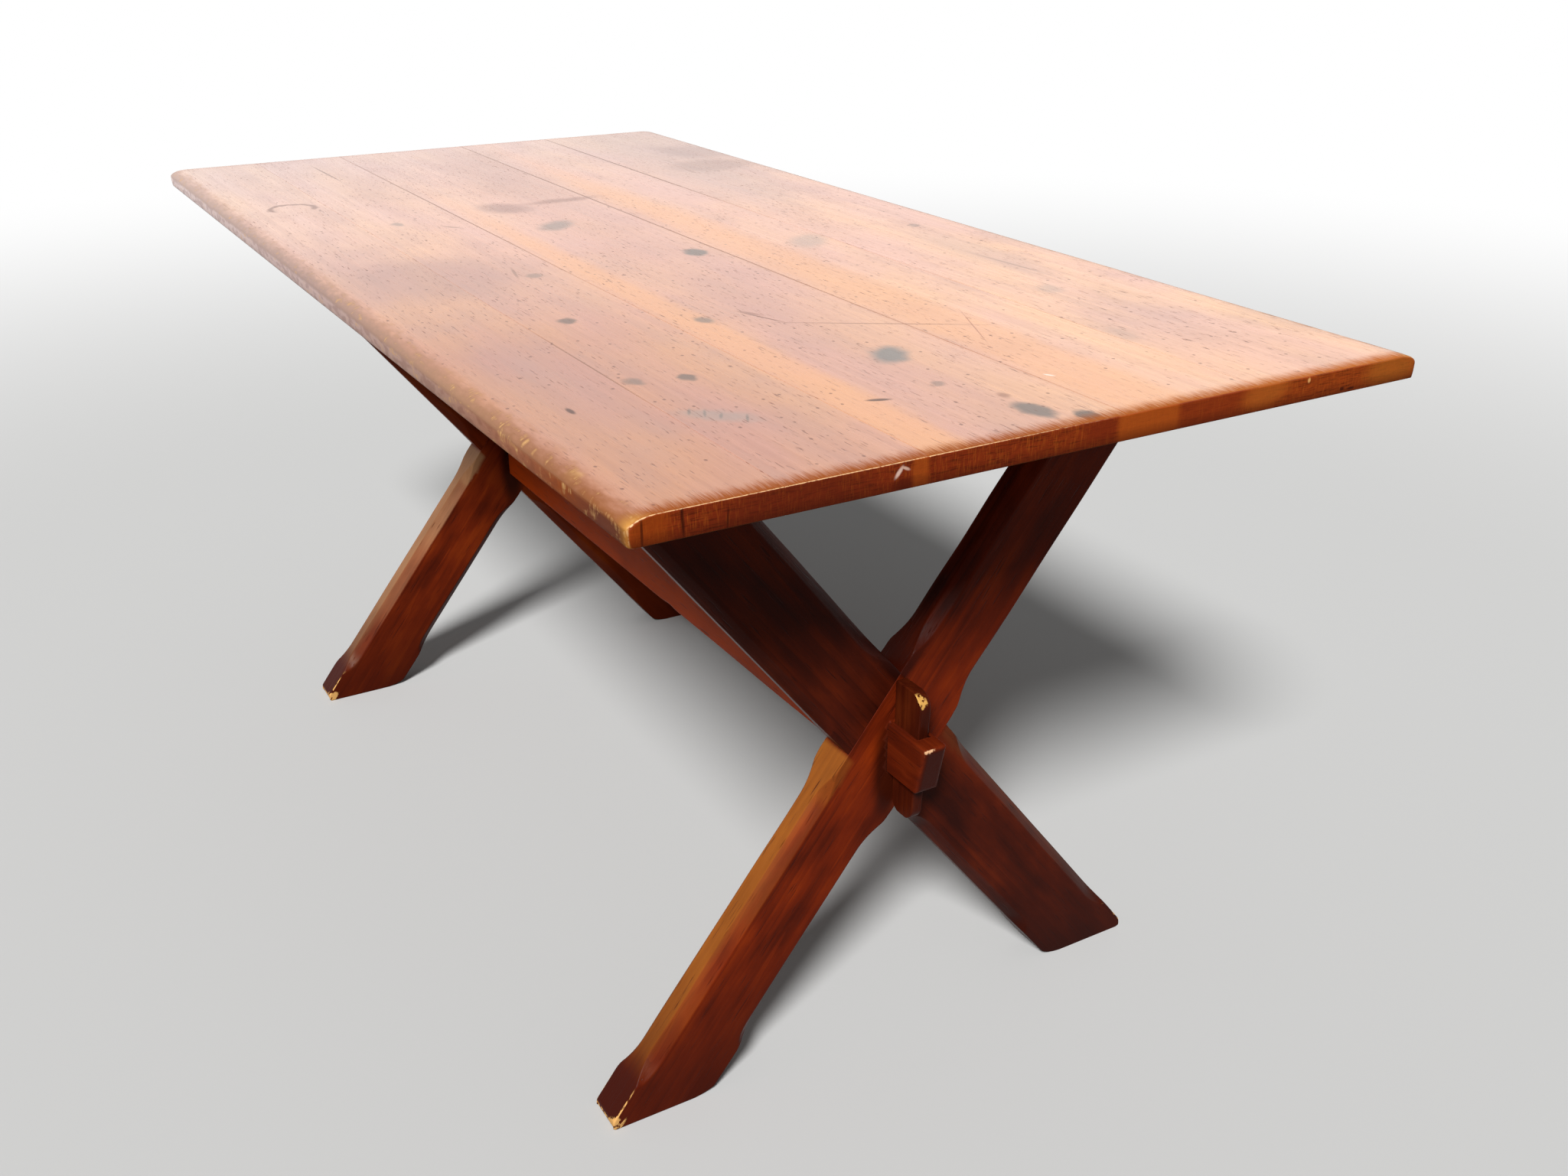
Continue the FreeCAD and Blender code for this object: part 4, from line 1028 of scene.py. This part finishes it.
def marked(colour, where, mark):
    """Tints the wood inside one mark: a round gradient drawn out to the mark's ellipse.

    It is 1 at the middle, falls in step with the distance, and is 0 where the soft rim ends.
    """
    x, y, long, wide, turn, tint, strength, soft = mark
    reach = 1.0 + soft
    inside = add(tree, "Mapping", {"vector_type": "TEXTURE"},
                 {"Vector": where, "Location": (x * MM, y * MM, TOP_Z * MM),
                  "Rotation": (0.0, 0.0, math.radians(turn)),
                  "Scale": (long * reach * MM, wide * reach * MM, reach)})
    depth = add(tree, "TexGradient", {"gradient_type": "SPHERICAL"}, {"Vector": inside}, "Fac")
    share = add(tree, "MapRange", {"interpolation_type": "SMOOTHSTEP"},
                {"Value": depth, "From Max": 2.0 * soft / reach, "To Max": strength})
    return add(tree, "Mix", {"data_type": "RGBA"}, {"Factor": share, "A": colour, "B": tint})


for mark in STAINS + KNOTS + CRESCENT:
    wood = marked(wood, ragged, mark)
for mark in SCRATCHES + GLUE_LINES:
    wood = marked(wood, place, mark)
flecked = add(tree, "MapRange", None, {"Value": bruises, "From Min": 0.35, "From Max": 0.62, "To Min": 0.35})
dashed = add(tree, "MapRange", None, {"Value": dashes, "From Min": 0.635, "From Max": 0.75, "To Max": flecked})
specked = add(tree, "MapRange", None, {"Value": specks, "From Min": 0.11, "From Max": 0.06, "To Max": 0.7})
for share, tint in ((dashed, "#80503F"), (specked, "#6A4032")):
    wood = add(tree, "Mix", {"data_type": "RGBA"}, {"Factor": share, "A": wood, "B": tint})
print("top nodes so far", len(tree.nodes))

# %% [markdown]
# ## End grain
# Sawn end grain drinks stain, so both ends are a deep red-brown. The rings cross it as fine level lines, the saw
# left upright strokes, and the blocks of colour show where one board ends and the next begins. The end is
# darker towards its lower edge.

# %% End grain
toward_right = add(tree, "MapRange", None, {"Value": axes["Y"], "From Min": -0.1, "From Max": 0.3})
end_grain = add(tree, "Mix", {"data_type": "RGBA"}, {"Factor": toward_right, "A": "#74280E", "B": "#883810"})
lined = add(tree, "MapRange", None, {"Value": end_lines, "From Min": 0.5, "From Max": 0.32, "To Max": 0.7})
combed = add(tree, "MapRange", None, {"Value": saw_marks, "From Min": 0.5, "From Max": 0.75, "To Max": 0.4})
for share, tint in ((shade, "#300A02"), (lined, "#3C1206"), (combed, "#A8561A")):
    end_grain = add(tree, "Mix", {"data_type": "RGBA"}, {"Factor": share, "A": end_grain, "B": tint})
on_end = add(tree, "CombineXYZ", None, {"X": axes["Y"], "Y": axes["Z"], "Z": TOP_Z * MM})
for mark in END_BLOCKS:
    end_grain = marked(end_grain, on_end, mark)
# Darker towards the lower edge of the end.
darker_low = add(tree, "MapRange", None,
            {"Value": axes["Z"], "From Min": 0.7255, "From Max": 0.7155, "To Max": 0.65})
end_grain = add(tree, "Mix", {"data_type": "RGBA"}, {"Factor": darker_low, "A": end_grain, "B": "#300E06"})
print("blocks on the end grain", len(END_BLOCKS))

# %% [markdown]
# ## Edges of the top
# Hands and sleeves wear a top most at its edges. The ends turn down through a frayed brown band, the rolled
# long edges go brown near the front and pale towards the back, a paleness that is partly painted reflection,
# with hatched yellow scuffs, and the ends' upper arris and the corners are rubbed to bare wood, the arris line
# partly a painted highlight. Each is a share, 0 to 1, laid over the wood in turn.

# %% Edges of the top
endwise = add(tree, "Math", {"operation": "ABSOLUTE"}, {0: axes["X"]})
sidewise = add(tree, "Math", {"operation": "ABSOLUTE"}, {0: axes["Y"]})
along = add(tree, "MapRange", None, {"Value": axes["X"], "From Min": -0.76, "From Max": 0.76})
frayed = add(tree, "Math", {"operation": "MULTIPLY_ADD"}, {0: fibres, 1: 0.026, 2: endwise})
kept_stain = add(tree, "MapRange", None,
                 {"Value": axes["X"], "From Min": -0.7, "From Max": 0.0, "To Min": 0.2})
turned_down = add(tree, "MapRange", {"interpolation_type": "SMOOTHSTEP"},
                  {"Value": frayed, "From Min": 0.752, "From Max": 0.775, "To Max": kept_stain})
end_band = add(tree, "Mix", {"data_type": "RGBA"}, {"Factor": toward_right, "A": "#8E460C", "B": "#AA5A10"})
wavering = add(tree, "Math", {"operation": "MULTIPLY_ADD"}, {0: chips, 1: 0.018, 2: sidewise})
rolled = add(tree, "MapRange", {"interpolation_type": "SMOOTHSTEP"},
             {"Value": wavering, "From Min": 0.368, "From Max": 0.3915})
# The rolled and upright edges pale towards the back, partly stain and partly a painted reflection.
roll_stain_and_sheen = add(tree, "ValToRGB", None, {"Fac": along}, stops=(
    (0.04, "#AD978E"), (0.5, "#967E76"), (0.78, "#947058"), (0.96, "#824E2C"), (0.991, "#86502A"),
    (1.0, "#B8823E")))
edge_stain_and_sheen = add(tree, "ValToRGB", None, {"Fac": along}, stops=(
    (0.05, "#E6D2CE"), (0.5, "#C9AFA9"), (0.75, "#AA8779"), (0.85, "#9E6A52"), (0.93, "#8A4522"),
    (0.972, "#643628"), (0.993, "#663826"), (0.999, "#94602A")))
mottle = add(tree, "MapRange", None, {"Value": chips, "From Min": 0.52, "From Max": 0.4, "To Max": 0.3})
edge_stain_and_sheen = add(tree, "Mix", {"data_type": "RGBA"}, {"Factor": mottle, "A": edge_stain_and_sheen, "B": "#6A3A28"})
upright = add(tree, "MapRange", None, {"Value": axes["Z"], "From Min": 0.7295, "From Max": 0.7262})
scuffed = add(tree, "MapRange", None, {"Value": chips, "From Min": 0.55, "From Max": 0.68, "To Max": rolled})
scuffed = add(tree, "MapRange", None,
              {"Value": hatching, "From Min": 0.44, "From Max": 0.7, "To Max": scuffed})
sawn = add(tree, "MapRange", None, {"Value": endwise, "From Min": 0.7602, "From Max": 0.7614})
# Bare wood at the worn corners, and on the ends' upper arris a line that is partly a painted highlight.
worn = add(tree, "Attribute", {"attribute_name": "wear_and_highlight"}, out="Fac")
patchy = add(tree, "MapRange", None,
             {"Value": nicks, "From Min": 0.3, "From Max": 0.6, "To Min": 0.6, "To Max": 1.2})
bare = add(tree, "Math", {"operation": "MULTIPLY"}, {0: worn, 1: patchy})
bare = add(tree, "MapRange", {"interpolation_type": "SMOOTHSTEP"},
           {"Value": bare, "From Min": 0.28, "From Max": 0.78})
under = add(tree, "MapRange", None,
            {"Value": axes["Z"], "From Min": 0.7154, "From Max": 0.7151, "To Max": 0.8})
for share, tint in ((turned_down, end_band), (rolled, roll_stain_and_sheen), (upright, edge_stain_and_sheen), (scuffed, "#CDA068"),
                    (sawn, end_grain), (bare, "#DDB080"), (under, "#9A6A44")):
    wood = add(tree, "Mix", {"data_type": "RGBA"}, {"Factor": share, "A": wood, "B": tint})
print("top nodes with its edges", len(tree.nodes))

# %% [markdown]
# ## Varnish
# On the flat the varnish is smooth and mirrors the white surround at a low angle. The rolled edges are rubbed
# dull. Below their widest line, on the ends and on the underside the varnish has worn away or was never laid,
# so those faces get a copy of the material with hardly any reflection.

# %% Varnish
VARNISH_SHEEN, DRY_SHEEN = 0.2, 0.04

rough = add(tree, "MapRange", None, {"Value": streaks, "To Min": 0.13, "To Max": 0.37})
dull = add(tree, "Math", {"operation": "MAXIMUM"}, {0: rolled, 1: turned_down})
for share, dulling in ((dull, 0.5), (under, 0.35)):
    rough = add(tree, "Math", {"operation": "MULTIPLY_ADD"}, {0: share, 1: dulling, 2: rough})
height = add(tree, "Math", {"operation": "MULTIPLY_ADD"}, {0: fibres, 1: 0.3, 2: streaks})
height = add(tree, "Math", {"operation": "SUBTRACT"}, {0: height, 1: dashed})
relief = add(tree, "Bump", None, {"Strength": 0.4, "Distance": 0.0004, "Height": height})
surface = add(tree, "BsdfPrincipled", None, {"Base Color": wood, "Roughness": rough, "Normal": relief,
                                             "Specular IOR Level": VARNISH_SHEEN})
add(tree, "OutputMaterial", None, {"Surface": surface})

bare_edges = top_pine.copy()
bare_edges.name = "dry_pine_edges_without_polish"
bare_edges.node_tree.nodes["Principled BSDF"].inputs["Specular IOR Level"].default_value = DRY_SHEEN
for board in top_boards:
    board.data.materials.append(top_pine)
    board.data.materials.append(bare_edges)
    middles = np.empty(len(board.data.polygons) * 3)
    board.data.polygons.foreach_get("center", middles)
    middles = middles.reshape(-1, 3) / MM
    on_edge = (middles[:, 2] < WIDEST_Z) | (np.abs(middles[:, 0]) > HALF_LENGTH - 0.2)
    board.data.polygons.foreach_set("material_index", on_edge.astype(np.int32))
print("nodes in the top's material", len(tree.nodes))
